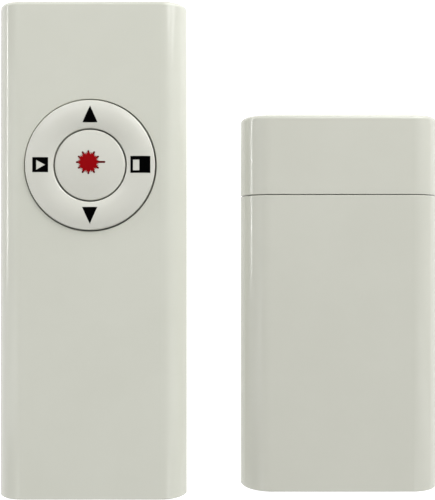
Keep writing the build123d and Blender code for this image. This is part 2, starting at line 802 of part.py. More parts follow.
with BuildPart() as main_board:
    with BuildSketch(level(board_z)):
        with Locations((handset_x, board_bottom_y)):
            Rectangle(board_width, board_top_y - board_bottom_y, align=(Align.CENTER, Align.MIN))
        with Locations((handset_x, board_top_y)):
            notch_depth = board_top_y - laser_board_y + notch_room
            notch_width = 2 * barrel_radius + 2 * notch_room
            Rectangle(notch_width, notch_depth, align=(Align.CENTER, Align.MAX), mode=Mode.SUBTRACT)
        with Locations(*handset_upper_spots):
            Circle(screw_hole_radius, mode=Mode.SUBTRACT)
        with Locations(*post_spots):
            Circle(board_pin_radius + fit, mode=Mode.SUBTRACT)
        with Locations(*guide_spots):
            Circle(guide_radius + board_hole_room, mode=Mode.SUBTRACT)
    extrude(amount=board_thickness)
main_board.part.label = "main_board"

chips = {}
board_right_x = handset_x + board_width / 2
for name, ((x, y), size) in handset_chips.items():
    chips[name] = chip(board_right_x + x, laser_board_y + y, board_top_z, size)
    chips[name].label = name
(x, y), pitch, columns, rows = handset_capacitor_grid
board_capacitors = capacitors(board_right_x + x, laser_board_y + y, board_top_z, pitch, columns, rows)
board_capacitors.label = "board_capacitors"
board_antenna = serpentine(
    antenna_turns, handset_antenna_reach, board_top_z,
    handset_x - board_width / 2 + handset_antenna_from_side, laser_board_y - notch_room,
)
board_antenna.label = "board_antenna"

with BuildPart() as dome_sheet:
    with BuildSketch(level(board_top_z)):
        with Locations((handset_x, ring_y)):
            Circle(dome_spread + dome_radius + dome_sheet_rim)
        with Locations(*[(handset_x + x, ring_y + y) for x, y in dome_offsets.values()]):
            Circle(dome_radius + 2 * fit, mode=Mode.SUBTRACT)
        with Locations(*guide_spots):
            Circle(guide_radius + board_hole_room, mode=Mode.SUBTRACT)
    extrude(amount=dome_sheet_thickness)
dome_sheet.part.label = "dome_sheet"


def snap_dome(x, y):
    # A thin domed disc that stands on its rim
    with BuildPart() as dome:
        with BuildSketch(section_plane(x, y)):
            with BuildLine():
                outer = ThreePointArc(
                    (-dome_radius, board_top_z), (0, board_top_z + dome_height),
                    (dome_radius, board_top_z),
                )
                Line(outer @ 0, outer @ 1)
            make_face()
            with BuildLine():
                inner = ThreePointArc(
                    (dome_metal - dome_radius, board_top_z), (0, board_top_z + dome_height - dome_metal),
                    (dome_radius - dome_metal, board_top_z),
                )
                Line(inner @ 0, inner @ 1)
            make_face(mode=Mode.SUBTRACT)
            split(bisect_by=Plane.YZ, keep=Keep.TOP)
        revolve(axis=Axis((x, y, 0), (0, 0, 1)))
    return dome.part


domes = {}
for name, (x, y) in dome_offsets.items():
    domes[name] = snap_dome(handset_x + x, ring_y + y)
    domes[name].label = name


# ---------------------------------------------------------------- laser module

laser_axis = Axis((handset_x, 0, laser_height), (0, 1, 0))
# The laser's profiles are drawn in a level plane: X is the radius, Y is the object's Y.
laser_plane = Plane(origin=(handset_x, 0, laser_height), x_dir=(1, 0, 0), z_dir=(0, 0, 1))

with BuildPart() as laser_barrel:
    with BuildSketch(laser_plane):
        with BuildLine():
            bore = barrel_radius - barrel_wall
            lip_y = barrel_front_y - barrel_lip
            Polyline(
                (diode_radius + fit, barrel_rear_y), (barrel_radius, barrel_rear_y),
                (barrel_radius, barrel_front_y), (barrel_mouth_radius, barrel_front_y),
                (barrel_mouth_radius, lip_y), (bore, lip_y),
                (bore, barrel_rear_y + diode_base + diode_can_length),
                (diode_radius + fit, barrel_rear_y + diode_base + diode_can_length), close=True,
            )
        make_face()
    revolve(axis=laser_axis)
laser_barrel.part.label = "laser_barrel"

with BuildPart() as laser_lens:
    with BuildSketch(laser_plane):
        with BuildLine():
            lens_y = barrel_front_y - barrel_lip - fit
            rear_y = lens_y - lens_thickness
            curve = TangentArc((0, rear_y), (lens_radius, rear_y + lens_crown), tangent=(1, 0))
            Polyline(curve @ 1, (lens_radius, lens_y), (0, lens_y), curve @ 0)
        make_face()
    revolve(axis=laser_axis)
laser_lens.part.label = "laser_lens"

with BuildPart() as laser_diode:
    with BuildSketch(laser_plane):
        with Locations((0, barrel_rear_y + fit)):
            Rectangle(diode_radius, diode_base, align=(Align.MIN, Align.MIN))
            Rectangle(diode_can_radius, diode_base + diode_can_length, align=(Align.MIN, Align.MIN))
    revolve(axis=laser_axis)
    # Three leads back through the laser's own board
    with BuildSketch(section_plane(handset_x, barrel_rear_y + diode_base)):
        with Locations((0, laser_height)):
            with PolarLocations(diode_can_radius / 1.5, 3, start_angle=90):
                Circle(lead_size / 2)
    extrude(amount=diode_base + laser_board_thickness + lead_size)
laser_diode.part.label = "laser_diode"

with BuildPart() as laser_board:
    with BuildSketch(section_plane(handset_x, barrel_rear_y - fit)):
        with Locations((0, laser_height)):
            Rectangle(*laser_board_size)
            with PolarLocations(diode_can_radius / 1.5, 3, start_angle=90):
                Circle(lead_size / 2 + fit, mode=Mode.SUBTRACT)
    extrude(amount=laser_board_thickness)
laser_board.part.label = "laser_board"

with BuildPart() as laser_leads:
    # Two pins from the main board to the laser's board
    with BuildSketch(level(board_top_z)):
        for side in (-1, 1):
            with Locations((handset_x + side * lead_spacing / 2, laser_board_y - fit)):
                lead_reach = notch_room + 2 * lead_size
                Rectangle(lead_size, lead_reach, align=(Align.CENTER, Align.MAX))
    extrude(amount=lead_size)
laser_leads.part.label = "laser_leads"

with BuildPart() as laser_bezel:
    with BuildSketch(laser_plane):
        with BuildLine():
            front_y = handset_top_y - fit
            seat_y = bezel_rear_y + window_thickness
            Polyline(
                (window_radius + fit, bezel_rear_y), (bezel_radius + bezel_flange, bezel_rear_y),
                (bezel_radius + bezel_flange, bezel_rear_y + bezel_flange_thickness),
                (bezel_radius, bezel_rear_y + bezel_flange_thickness), (bezel_radius, front_y),
                (bezel_mouth_radius, front_y), (bezel_bore_radius, seat_y),
                (window_radius + fit, seat_y), close=True,
            )
        make_face()
    revolve(axis=laser_axis)
laser_bezel.part.label = "laser_bezel"

with BuildPart() as laser_window:
    with BuildSketch(section_plane(handset_x, seat_y)):
        with Locations((0, laser_height)):
            Circle(window_radius)
    extrude(amount=window_thickness)
laser_window.part.label = "laser_window"


# ---------------------------------------------------------------- screws

with BuildPart() as screw:
    # Stands on its seat at the origin, thread upwards, with a cross slot in its head below
    with BuildSketch():
        Circle(screw_head_radius)
    extrude(amount=-screw_head_height)
    with BuildSketch():
        Circle(screw_radius)
    extrude(amount=screw_length)
    with BuildSketch(level(-screw_head_height)):
        Rectangle(screw_slot[0], screw_slot[1])
        Rectangle(screw_slot[1], screw_slot[0])
    extrude(amount=screw_slot[2], mode=Mode.SUBTRACT)

with BuildPart() as case_screws:
    with Locations(*spots(handset_upper_spots + handset_lower_spots, handset_well_depth)):
        add(screw.part)
case_screws.part.label = "case_screws"

with BuildPart() as receiver_screws:
    with Locations(*spots(receiver_spots, receiver_well_depth)):
        add(screw.part)
receiver_screws.part.label = "receiver_screws"


# ---------------------------------------------------------------- receiver covers

body_length = seam_y - receiver_bottom_y
receiver_section = section_plane(receiver_x, seam_y)
receiver_inner_section = section_plane(receiver_x, seam_y - wall)

with BuildPart() as receiver_top_cover:
    add(
        long_solid(
            receiver_front_outline, receiver_x, seam_y, body_length, receiver_parting_z,
            seam_edge_radius, square_end_radius,
        )
    )
    with BuildSketch(receiver_inner_section):
        add(receiver_front_hollow)
    extrude(amount=body_length - 2 * wall, mode=Mode.SUBTRACT)
    with BuildSketch(section_plane(receiver_x, seam_y - lip_rim)):
        with Locations((0, receiver_parting_z)):
            Rectangle(receiver_width - 2 * lip_rim, lip_height + fit, align=(Align.CENTER, Align.MIN))
    extrude(amount=body_length - 2 * lip_rim, mode=Mode.SUBTRACT)
    with BuildSketch(level(receiver_board_top_z)):
        with Locations(*receiver_spots):
            Circle(boss_radius)
    extrude(until=Until.NEXT)
    with Locations(*spots(receiver_spots, receiver_board_top_z)):
        Cylinder(
            screw_pilot_radius, screw_length, mode=Mode.SUBTRACT,
            align=(Align.CENTER, Align.CENTER, Align.MIN),
        )
    with BuildSketch(receiver_section):
        with Locations((0, plug_z)):
            Rectangle(plug_width + 2 * plug_opening_gap, plug_height + 2 * plug_opening_gap)
    extrude(amount=2 * wall, mode=Mode.SUBTRACT)
receiver_top_cover.part.label = "receiver_top_cover"

with BuildPart() as receiver_bottom_cover:
    add(
        long_solid(
            receiver_back_outline, receiver_x, seam_y, body_length, receiver_parting_z,
            seam_edge_radius, back_end_radius,
        )
    )
    with BuildSketch(receiver_inner_section):
        add(receiver_back_hollow)
    extrude(amount=body_length - 2 * wall, mode=Mode.SUBTRACT)
    with BuildSketch(level(receiver_parting_z)):
        with Locations((receiver_x, (seam_y + receiver_bottom_y) / 2)):
            receiver_lip_width = receiver_width - 2 * (lip_rim + fit)
            receiver_lip_length = body_length - 2 * (lip_rim + fit)
            Rectangle(receiver_lip_width, receiver_lip_length)
            Rectangle(
                receiver_lip_width - 2 * lip_thickness, receiver_lip_length - 2 * lip_thickness,
                mode=Mode.SUBTRACT,
            )
    extrude(amount=lip_height)
    with BuildSketch(level(wall)):
        with Locations(*receiver_spots):
            Circle(boss_radius + sleeve_wall)
    extrude(amount=receiver_board_z - wall)
    with BuildSketch(level(0)):
        with Locations(*receiver_spots):
            Circle(well_radius)
    extrude(amount=receiver_well_depth, mode=Mode.SUBTRACT)
    with BuildSketch(level(0)):
        with Locations(*receiver_spots):
            Circle(screw_hole_radius)
    extrude(amount=receiver_board_z, mode=Mode.SUBTRACT)
    with BuildSketch(receiver_section):
        with Locations((0, plug_z)):
            Rectangle(plug_width + 2 * plug_opening_gap, plug_height + 2 * plug_opening_gap)
    extrude(amount=2 * wall, mode=Mode.SUBTRACT)
receiver_bottom_cover.part.label = "receiver_bottom_cover"

with BuildPart() as receiver_cap:
    for outline, back_radius in (
        (receiver_front_outline, top_end_radius),
        (receiver_back_outline, back_end_radius),
    ):
        add(
            long_solid(
                outline, receiver_x, receiver_top_y, cap_length, receiver_parting_z,
                back_radius, seam_edge_radius,
            )
        )
    cap_depth = cap_length - cap_end_wall
    with BuildSketch(section_plane(receiver_x, receiver_top_y - cap_end_wall)):
        add(receiver_front_hollow)
        add(receiver_back_hollow)
    extrude(amount=cap_depth, mode=Mode.SUBTRACT)
    # Ribs above and below that grip the plug
    with BuildSketch(section_plane(receiver_x, receiver_top_y - cap_end_wall + fit)):
        for side in (-1, 1):
            with Locations((side * grip_rib_spacing / 2, receiver_ceiling_z + fit)):
                Rectangle(
                    grip_rib_thickness, receiver_ceiling_z - plug_z - plug_height / 2,
                    align=(Align.CENTER, Align.MAX),
                )
            with Locations((side * grip_rib_spacing / 2, wall - fit)):
                Rectangle(
                    grip_rib_thickness, plug_z - plug_height / 2 - wall,
                    align=(Align.CENTER, Align.MIN),
                )
    extrude(amount=cap_depth - grip_rib_thickness)
receiver_cap.part.label = "receiver_cap"


# ---------------------------------------------------------------- USB plug

plug_tip_y = seam_y + plug_reach
plug_length = plug_reach + plug_root
plug_section = section_plane(receiver_x, plug_tip_y)
tongue_z = plug_z - plug_height / 2 + plug_metal

with BuildPart() as usb_shell:
    with BuildSketch(plug_section) as shell_outline:
        with Locations((0, plug_z)):
            Rectangle(plug_width, plug_height)
        fillet(shell_outline.vertices(), plug_metal)
        offset(amount=-plug_metal, mode=Mode.SUBTRACT)
    extrude(amount=plug_length)
    # The four latch windows
    with BuildSketch(level(plug_z)):
        with Locations((receiver_x, seam_y + plug_reach / 2)):
            with GridLocations(plug_window_spacing, 0, 2, 1):
                Rectangle(plug_window, plug_window)
    extrude(amount=plug_height, both=True, mode=Mode.SUBTRACT)
usb_shell.part.label = "usb_shell"

with BuildPart() as usb_tongue:
    with BuildSketch(section_plane(receiver_x, plug_tip_y - plug_metal)):
        with Locations((0, tongue_z + contact_gap)):
            Rectangle(
                plug_width - 2 * plug_metal - 2 * contact_gap, tongue_plastic,
                align=(Align.CENTER, Align.MIN),
            )
    extrude(amount=plug_length - plug_metal)
usb_tongue.part.label = "usb_tongue"

with BuildPart() as usb_contacts:
    with BuildSketch(level(tongue_z + contact_gap + tongue_plastic)):
        for x in plug_contact_x:
            with Locations((receiver_x + x, plug_tip_y - plug_window / 2)):
                Rectangle(plug_contact[0], plug_contact[2], align=(Align.CENTER, Align.MAX))
    extrude(amount=plug_contact[1])
usb_contacts.part.label = "usb_contacts"


# ---------------------------------------------------------------- receiver board

with BuildPart() as receiver_board:
    with BuildSketch(level(receiver_board_z)):
        with Locations((receiver_x, receiver_board_bottom_y)):
            Rectangle(
                receiver_board_width, receiver_board_top_y - receiver_board_bottom_y,
                align=(Align.CENTER, Align.MIN),
            )
        with Locations(*receiver_spots):
            Circle(screw_hole_radius, mode=Mode.SUBTRACT)
    extrude(amount=receiver_board_thickness)
receiver_board.part.label = "receiver_board"

for name, ((x, y), size) in receiver_chips.items():
    chips[name] = chip(receiver_x + x, receiver_bottom_y + y, receiver_board_top_z, size)
    chips[name].label = name
(x, y), pitch, columns, rows = receiver_capacitor_grid
receiver_capacitors = capacitors(
    receiver_x + x, receiver_bottom_y + y, receiver_board_top_z, pitch, columns, rows
)
receiver_capacitors.label = "receiver_capacitors"
receiver_antenna = serpentine(
    antenna_turns, receiver_antenna_reach, receiver_board_top_z,
    receiver_x - receiver_antenna_reach / 2, receiver_board_bottom_y + antenna_pitch,
)
receiver_antenna.label = "receiver_antenna"


# ---------------------------------------------------------------- output

os.makedirs("parts", exist_ok=True)
built = [
    front_cover.part, back_cover.part, battery_door.part, door_contact.part, battery_tray.part,
    cell_lower, cell_upper, *contacts.values(),
    main_board.part, board_capacitors, board_antenna, *chips.values(),
    dome_sheet.part, *domes.values(), key_ring.part, pivot_ring.part, laser_button.part,
    laser_barrel.part, laser_lens.part, laser_diode.part, laser_board.part, laser_leads.part,
    laser_bezel.part, laser_window.part, case_screws.part,
    receiver_top_cover.part, receiver_bottom_cover.part, receiver_cap.part,
    usb_shell.part, usb_tongue.part, usb_contacts.part,
    receiver_board.part, receiver_capacitors, receiver_antenna, receiver_screws.part,
]
for piece in built:
    export_step(piece, f"parts/{piece.label}.step")
print(len(built), "pieces")
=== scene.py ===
from math import cos, pi, radians, sin

import bmesh
import bpy
import numpy as np
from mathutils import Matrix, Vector


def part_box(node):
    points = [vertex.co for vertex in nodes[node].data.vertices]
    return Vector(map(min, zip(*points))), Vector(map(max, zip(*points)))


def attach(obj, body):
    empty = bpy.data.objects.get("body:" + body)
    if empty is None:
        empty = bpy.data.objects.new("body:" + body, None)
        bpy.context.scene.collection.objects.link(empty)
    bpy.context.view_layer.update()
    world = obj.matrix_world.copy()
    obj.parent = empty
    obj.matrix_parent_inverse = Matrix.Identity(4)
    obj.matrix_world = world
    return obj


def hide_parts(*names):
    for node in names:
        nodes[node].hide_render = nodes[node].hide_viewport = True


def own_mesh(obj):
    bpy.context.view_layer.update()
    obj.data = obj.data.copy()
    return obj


# A wireless presentation clicker: a handset with a rocking key ring round a laser button, and its
# USB receiver with a pull-off cap. Lengths in the dictionaries are millimetres.
mm = 0.001
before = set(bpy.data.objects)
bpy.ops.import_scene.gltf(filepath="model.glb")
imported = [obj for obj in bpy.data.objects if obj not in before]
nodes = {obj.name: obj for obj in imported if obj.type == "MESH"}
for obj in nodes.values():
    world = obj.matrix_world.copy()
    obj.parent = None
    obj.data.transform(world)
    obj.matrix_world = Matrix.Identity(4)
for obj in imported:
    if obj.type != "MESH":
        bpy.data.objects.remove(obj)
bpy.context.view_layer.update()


def middle(name):
    low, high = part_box(name)
    return (low + high) / 2 / mm


def top(name):
    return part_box(name)[1].z / mm


keyCentre = middle("laser_button")
handsetFace = top("front_cover")
print("frame:", len(nodes), "nodes, keys at", tuple(round(v, 2) for v in keyCentre))


# The camera looks straight down over the pair
camera = {"x": 0.03, "y": 0.015, "aboveHandset": 124.4, "lens": 50.54, "nearest": 10.0}
cameraData = bpy.data.cameras.new("camera")
cameraData.lens = camera["lens"]
cameraData.clip_start = camera["nearest"] * mm
cameraObject = bpy.data.objects.new("camera", cameraData)
cameraObject.location = Vector((camera["x"], camera["y"], handsetFace + camera["aboveHandset"])) * mm
bpy.context.scene.collection.objects.link(cameraObject)
bpy.context.scene.camera = cameraObject
bpy.context.scene.view_settings.view_transform = "Standard"


# Helpers that put nodes into a tree

def addNode(tree, kind, inputs=None, **settings):
    # A node with its settings, then its inputs: a socket is linked, anything else is a value
    made = tree.nodes.new(kind)
    for name, value in settings.items():
        setattr(made, name, value)
    for name, value in (inputs or {}).items():
        if isinstance(value, bpy.types.NodeSocket):
            tree.links.new(value, made.inputs[name])
        else:
            made.inputs[name].default_value = value
    return made


def maths(tree, operation, first, second=0.0, third=0.0):
    inputs = {0: first, 1: second, 2: third}
    return addNode(tree, "ShaderNodeMath", inputs, operation=operation).outputs[0]


def vectorMaths(tree, operation, first, second=(0, 0, 0), output=0):
    inputs = {0: first, 1: second}
    return addNode(tree, "ShaderNodeVectorMath", inputs, operation=operation).outputs[output]


def splitVector(tree, vector):
    return addNode(tree, "ShaderNodeSeparateXYZ", {0: vector}).outputs


def noise(tree, vector, scale, detail=3.0, roughness=0.5):
    inputs = {"Vector": vector, "Scale": scale, "Detail": detail, "Roughness": roughness}
    return addNode(tree, "ShaderNodeTexNoise", inputs).outputs["Fac"]


def stretch(tree, vector, scale, turn=(0, 0, 0)):
    inputs = {"Vector": vector, "Scale": scale, "Rotation": [radians(angle) for angle in turn]}
    return addNode(tree, "ShaderNodeMapping", inputs).outputs[0]


def ramp(tree, value, low, high, start=0.0, end=1.0):
    # A smooth step from start to end while the value goes from low to high
    inputs = {"Value": value, "From Min": low, "From Max": high, "To Min": start, "To Max": end}
    return addNode(tree, "ShaderNodeMapRange", inputs, interpolation_type="SMOOTHSTEP").outputs[0]


def mixColour(tree, factor, first, second):
    made = addNode(tree, "ShaderNodeMix", data_type="RGBA")
    for socket, value in zip((made.inputs[0], made.inputs[6], made.inputs[7]), (factor, first, second)):
        if isinstance(value, bpy.types.NodeSocket):
            tree.links.new(value, socket)
        else:
            socket.default_value = value
    return made.outputs[2]


def bump(tree, height, distance, strength=1.0, normal=None):
    inputs = {"Height": height, "Distance": distance * mm, "Strength": strength}
    if normal:
        inputs["Normal"] = normal
    return addNode(tree, "ShaderNodeBump", inputs).outputs[0]


# Shared effects, each a node group that works in millimetres

def newGroup(name, inputs, outputs):
    group = bpy.data.node_groups.new(name, "ShaderNodeTree")
    for direction, sockets in (("INPUT", inputs), ("OUTPUT", outputs)):
        for socketName, (kind, value) in sockets.items():
            socket = group.interface.new_socket(
                name=socketName, in_out=direction, socket_type="NodeSocket" + kind
            )
            if value is not None:
                socket.default_value = value
    return group, group.nodes.new("NodeGroupInput").outputs, group.nodes.new("NodeGroupOutput").inputs


def useGroup(tree, group, inputs):
    return addNode(tree, "ShaderNodeGroup", inputs, node_tree=group).outputs


def buildMouldedSkin():
    # The faint waviness and the fine grain that a mould leaves on plastic
    group, given, put = newGroup(
        "mouldedSkin",
        {"Vector": ("Vector", None), "Wave Size": ("Float", 1.6), "Grain Size": ("Float", 0.08),
         "Grain Share": ("Float", 0.3)},
        {"Height": ("Float", None), "Shade": ("Float", None)},
    )
    waveScale = maths(group, "DIVIDE", 1.0, given["Wave Size"])
    grainScale = maths(group, "DIVIDE", 1.0, given["Grain Size"])
    wave = noise(group, given["Vector"], waveScale, 2.0)
    grain = noise(group, given["Vector"], grainScale, 2.0)
    both = maths(group, "MULTIPLY_ADD", grain, given["Grain Share"], wave)
    group.links.new(both, put["Height"])
    group.links.new(noise(group, given["Vector"], 0.07, 4.0, 0.6), put["Shade"])
    return group


hairline = {
    "threshold": 0.80, "perDensity": -0.18, "turns": (17, 74, 131), "stretch": (0.12, 1.0, 0.5),
    "patchScale": 0.11, "patchEdge": (0.45, 0.62),
}


def buildScratches():
    # Hairlines: noise stretched hard along three directions, of which only the crests stay, in patches.
    # A denser surface has a lower threshold
    group, given, put = newGroup(
        "scratches",
        {"Vector": ("Vector", None), "Density": ("Float", 0.3), "Fineness": ("Float", 9.0)},
        {"Mask": ("Float", None)},
    )
    threshold = maths(group, "MULTIPLY_ADD", given["Density"], hairline["perDensity"], hairline["threshold"])
    total = None
    for turn in hairline["turns"]:
        long = stretch(group, given["Vector"], hairline["stretch"], (0, 0, turn))
        line = noise(group, long, given["Fineness"], 1.0)
        crest = maths(group, "GREATER_THAN", line, threshold)
        total = crest if total is None else maths(group, "MAXIMUM", total, crest)
    patches = ramp(group, noise(group, given["Vector"], hairline["patchScale"], 2.0), *hairline["patchEdge"])
    group.links.new(maths(group, "MULTIPLY", total, patches), put["Mask"])
    return group


def buildDust():
    # Small round specks, one in some of the cells of a scattered lattice
    group, given, put = newGroup(
        "dust",
        {"Vector": ("Vector", None), "Spacing": ("Float", 1.4), "Share": ("Float", 0.25),
         "Size": ("Float", 0.035)},
        {"Mask": ("Float", None)},
    )
    scale = maths(group, "DIVIDE", 1.0, given["Spacing"])
    cells = addNode(group, "ShaderNodeTexVoronoi", {"Vector": given["Vector"], "Scale": scale})
    near = maths(group, "MULTIPLY", cells.outputs["Distance"], given["Spacing"])
    speck = maths(group, "LESS_THAN", near, given["Size"])
    chosen = addNode(group, "ShaderNodeSeparateColor", {0: cells.outputs["Color"]}).outputs[0]
    present = maths(group, "LESS_THAN", chosen, given["Share"])
    group.links.new(maths(group, "MULTIPLY", speck, present), put["Mask"])
    return group


def buildBrushed():
    # Drawn or brushed metal: noise stretched by the scale that is given
    group, given, put = newGroup(
        "brushed",
        {"Vector": ("Vector", None), "Along": ("Vector", (1.0, 0.03, 1.0)), "Fineness": ("Float", 14.0)},
        {"Grain": ("Float", None), "Cloud": ("Float", None)},
    )
    long = vectorMaths(group, "MULTIPLY", given["Vector"], given["Along"])
    group.links.new(noise(group, long, given["Fineness"], 4.0, 0.65), put["Grain"])
    group.links.new(noise(group, given["Vector"], 0.5, 3.0), put["Cloud"])
    return group


mouldedSkin = buildMouldedSkin()
scratches = buildScratches()
dust = buildDust()
brushed = buildBrushed()
print("effects:", len(bpy.data.node_groups), "node groups")


def newMaterial(name, **surface):
    # A Principled material with these even values, and the place on the object in millimetres
    material = bpy.data.materials.new(name)
    material.use_nodes = True
    tree = material.node_tree
    tree.nodes.clear()
    shader = addNode(tree, "ShaderNodeBsdfPrincipled", surface)
    addNode(tree, "ShaderNodeOutputMaterial", {"Surface": shader.outputs[0]})
    place = addNode(tree, "ShaderNodeTexCoord").outputs["Object"]
    place = addNode(tree, "ShaderNodeVectorMath", {0: place, "Scale": 1 / mm}, operation="SCALE")
    return material, tree, shader, place.outputs[0]


def feed(tree, shader, **sockets):
    for name, socket in sockets.items():
        tree.links.new(socket, shader.inputs[name.replace("_", " ")])


def onAxis(tree, place, centre, across):
    # Distance from the centre, or from an axis or a plane through it; across holds 1 for the directions
    # that count
    away = vectorMaths(tree, "SUBTRACT", place, tuple(centre))
    return vectorMaths(tree, "LENGTH", vectorMaths(tree, "MULTIPLY", away, across), output="Value")


def buildPlastic(name, look):
    # Moulded plastic with a few hairlines and specks; the underside, which slides on desks, is scuffed
    material, tree, shader, place = newMaterial(name, IOR=1.5)
    skin = useGroup(tree, mouldedSkin, {
        "Vector": place, "Wave Size": look["wave"], "Grain Size": look["grain"],
        "Grain Share": look["grainShare"],
    })
    lines = useGroup(tree, scratches, {"Vector": place, "Density": look["wear"]})["Mask"]
    specks = useGroup(tree, dust, {"Vector": place, "Share": look["dust"]})["Mask"]
    shade = mixColour(tree, ramp(tree, skin["Shade"], 0.3, 0.7), look["colour"], look["colourTwo"])
    under = ramp(tree, splitVector(tree, place)["Z"], 0.0, look["scuffTop"], 1.0, 0.0)
    scuff = maths(tree, "MULTIPLY", under, ramp(tree, noise(tree, place, 1.7, 6.0, 0.7), 0.42, 0.66))
    tint = mixColour(tree, maths(tree, "MULTIPLY", scuff, look["scuffShare"]), shade, look["scuffed"])
    dusty = mixColour(tree, maths(tree, "MULTIPLY", specks, look["dustShare"]), tint, look["speck"])
    feed(tree, shader, Base_Color=dusty)
    gloss = ramp(tree, skin["Shade"], 0.35, 0.65, look["roughness"], look["roughness"] + look["unevenness"])
    gloss = maths(tree, "MULTIPLY_ADD", lines, look["lineRoughness"], gloss)
    feed(tree, shader, Roughness=maths(tree, "MULTIPLY_ADD", scuff, look["scuffRoughness"], gloss))
    relief = bump(tree, skin["Height"], look["depth"], 0.6)
    relief = bump(tree, maths(tree, "ADD", lines, scuff), -look["lineDepth"], 0.4, relief)
    feed(tree, shader, Normal=relief)
    return material


ivory = {
    "colour": (0.645, 0.652, 0.578, 1), "colourTwo": (0.63, 0.637, 0.562, 1),
    "roughness": 0.1, "unevenness": 0.06, "wave": 2.6, "grain": 0.09, "grainShare": 0.06, "depth": 0.002,
    "wear": 0.25, "lineRoughness": 0.14, "lineDepth": 0.002,
    "dust": 0.12, "dustShare": 0.3, "speck": (0.35, 0.33, 0.28, 1),
    "scuffed": (0.52, 0.52, 0.46, 1), "scuffTop": 0.12, "scuffShare": 0.25, "scuffRoughness": 0.25,
}
# The receiver's ivory is the handset's plastic painted a little darker: painted shade, for the receiver lies
# in a little less light than the handset
shadedReceiverIvory = {**ivory, "colour": (0.607, 0.611, 0.542, 1), "colourTwo": (0.592, 0.596, 0.527, 1)}
keyIvory = {
    **ivory, "colour": (0.66, 0.66, 0.60, 1), "colourTwo": (0.645, 0.645, 0.58, 1), "roughness": 0.18,
}
darkPlastic = {
    **ivory, "colour": (0.012, 0.012, 0.013, 1), "colourTwo": (0.02, 0.02, 0.021, 1),
    "scuffed": (0.03, 0.03, 0.03, 1), "speck": (0.2, 0.19, 0.17, 1), "roughness": 0.42,
    "wave": 0.5, "grain": 0.06, "grainShare": 1.2, "depth": 0.012,
}

finishes = {
    "ivory": buildPlastic("ivoryPlastic", ivory),
    # the receiver's shells: the ivory with painted shade
    "receiver": buildPlastic("shadedReceiverPlastic", shadedReceiverIvory),
    "keys": buildPlastic("keyPlastic", keyIvory),
    "dark": buildPlastic("darkPlastic", darkPlastic),
}


def buildClear(name, look):
    # Polished acrylic with faint hairlines and specks
    material, tree, shader, place = newMaterial(
        name, **{"IOR": look["ior"], "Transmission Weight": 1.0, "Base Color": look["colour"]},
    )
    lines = useGroup(tree, scratches, {"Vector": place, "Density": 0.2, "Fineness": 14.0})["Mask"]
    specks = useGroup(tree, dust, {"Vector": place, "Spacing": 0.6, "Size": 0.02})["Mask"]
    marks = maths(tree, "MAXIMUM", lines, specks)
    feed(tree, shader, Roughness=maths(tree, "MULTIPLY_ADD", marks, 0.25, look["roughness"]))
    feed(tree, shader, Normal=bump(tree, noise(tree, place, 1.2, 2.0), 0.001, 0.3))
    return material


acrylic = {"ior": 1.49, "colour": (0.93, 0.95, 0.97, 1), "roughness": 0.02}
finishes["lens"] = buildClear("clearLens", acrylic)


def buildFilm(name, look):
    # Milky polyester that the board shows through
    material, tree, shader, place = newMaterial(name, IOR=1.57, Alpha=look["alpha"])
    cloud = noise(tree, place, 0.8, 3.0)
    specks = useGroup(tree, dust, {"Vector": place, "Spacing": 0.9, "Size": 0.03})["Mask"]
    sheet = mixColour(tree, cloud, look["colour"], look["colourTwo"])
    dusty = mixColour(tree, maths(tree, "MULTIPLY", specks, look["dustShare"]), sheet, look["speck"])
    feed(tree, shader, Base_Color=dusty)
    feed(tree, shader, Roughness=ramp(tree, cloud, 0.3, 0.7, 0.2, 0.34))
    feed(tree, shader, Normal=bump(tree, noise(tree, place, 3.0, 2.0), 0.004, 0.4))
    return material


milkyFilm = {
    "colour": (0.72, 0.73, 0.66, 1), "colourTwo": (0.66, 0.67, 0.59, 1), "alpha": 0.5,
    "dustShare": 0.4, "speck": (0.3, 0.3, 0.3, 1),
}
finishes["film"] = buildFilm("milkyFilm", milkyFilm)


def buildMetal(name, look):
    # Rolled or plated sheet, brushed along one direction, with hairlines
    material, tree, shader, place = newMaterial(name, Metallic=1.0)
    along = {"Vector": place, "Along": look["along"], "Fineness": look["fineness"]}
    grain = useGroup(tree, brushed, along)
    wear = {"Vector": place, "Density": look["wear"], "Fineness": 12.0}
    lines = useGroup(tree, scratches, wear)["Mask"]
    feed(tree, shader, Base_Color=mixColour(tree, grain["Cloud"], look["colour"], look["colourTwo"]))
    gloss = ramp(tree, grain["Grain"], 0.25, 0.75, look["roughness"] - 0.06, look["roughness"] + 0.08)
    feed(tree, shader, Roughness=maths(tree, "MULTIPLY_ADD", lines, 0.15, gloss))
    feed(tree, shader, Normal=bump(tree, grain["Grain"], look["depth"], 0.5))
    return material


plugSteel = {
    "colour": (0.72, 0.71, 0.69, 1), "colourTwo": (0.60, 0.59, 0.57, 1), "roughness": 0.24,
    "along": (1.0, 0.03, 1.0), "fineness": 11.0, "depth": 0.004, "wear": 0.4,
}
springSteel = {**plugSteel, "roughness": 0.3, "along": (0.05, 1.0, 1.0), "wear": 0.5}
gold = {
    **plugSteel, "colour": (0.88, 0.62, 0.26, 1), "colourTwo": (0.80, 0.54, 0.20, 1),
    "roughness": 0.22, "along": (1.0, 0.1, 1.0), "wear": 0.3,
}
finishes["plug"] = buildMetal("plugSteel", plugSteel)
finishes["spring"] = buildMetal("springSteel", springSteel)
finishes["gold"] = buildMetal("contactGold", gold)


def plusSign(tree, place, centre, arm, halfWidth, softness):
    # 1 inside two crossed bars about the centre, with soft edges
    away = vectorMaths(tree, "SUBTRACT", place, tuple(centre))
    split = splitVector(tree, vectorMaths(tree, "ABSOLUTE", away))
    longer = maths(tree, "MAXIMUM", split["X"], split["Y"])
    shorter = maths(tree, "MINIMUM", split["X"], split["Y"])
    inside = ramp(tree, shorter, halfWidth, halfWidth + softness, 1.0, 0.0)
    return maths(tree, "MULTIPLY", inside, ramp(tree, longer, arm, arm + softness, 1.0, 0.0))


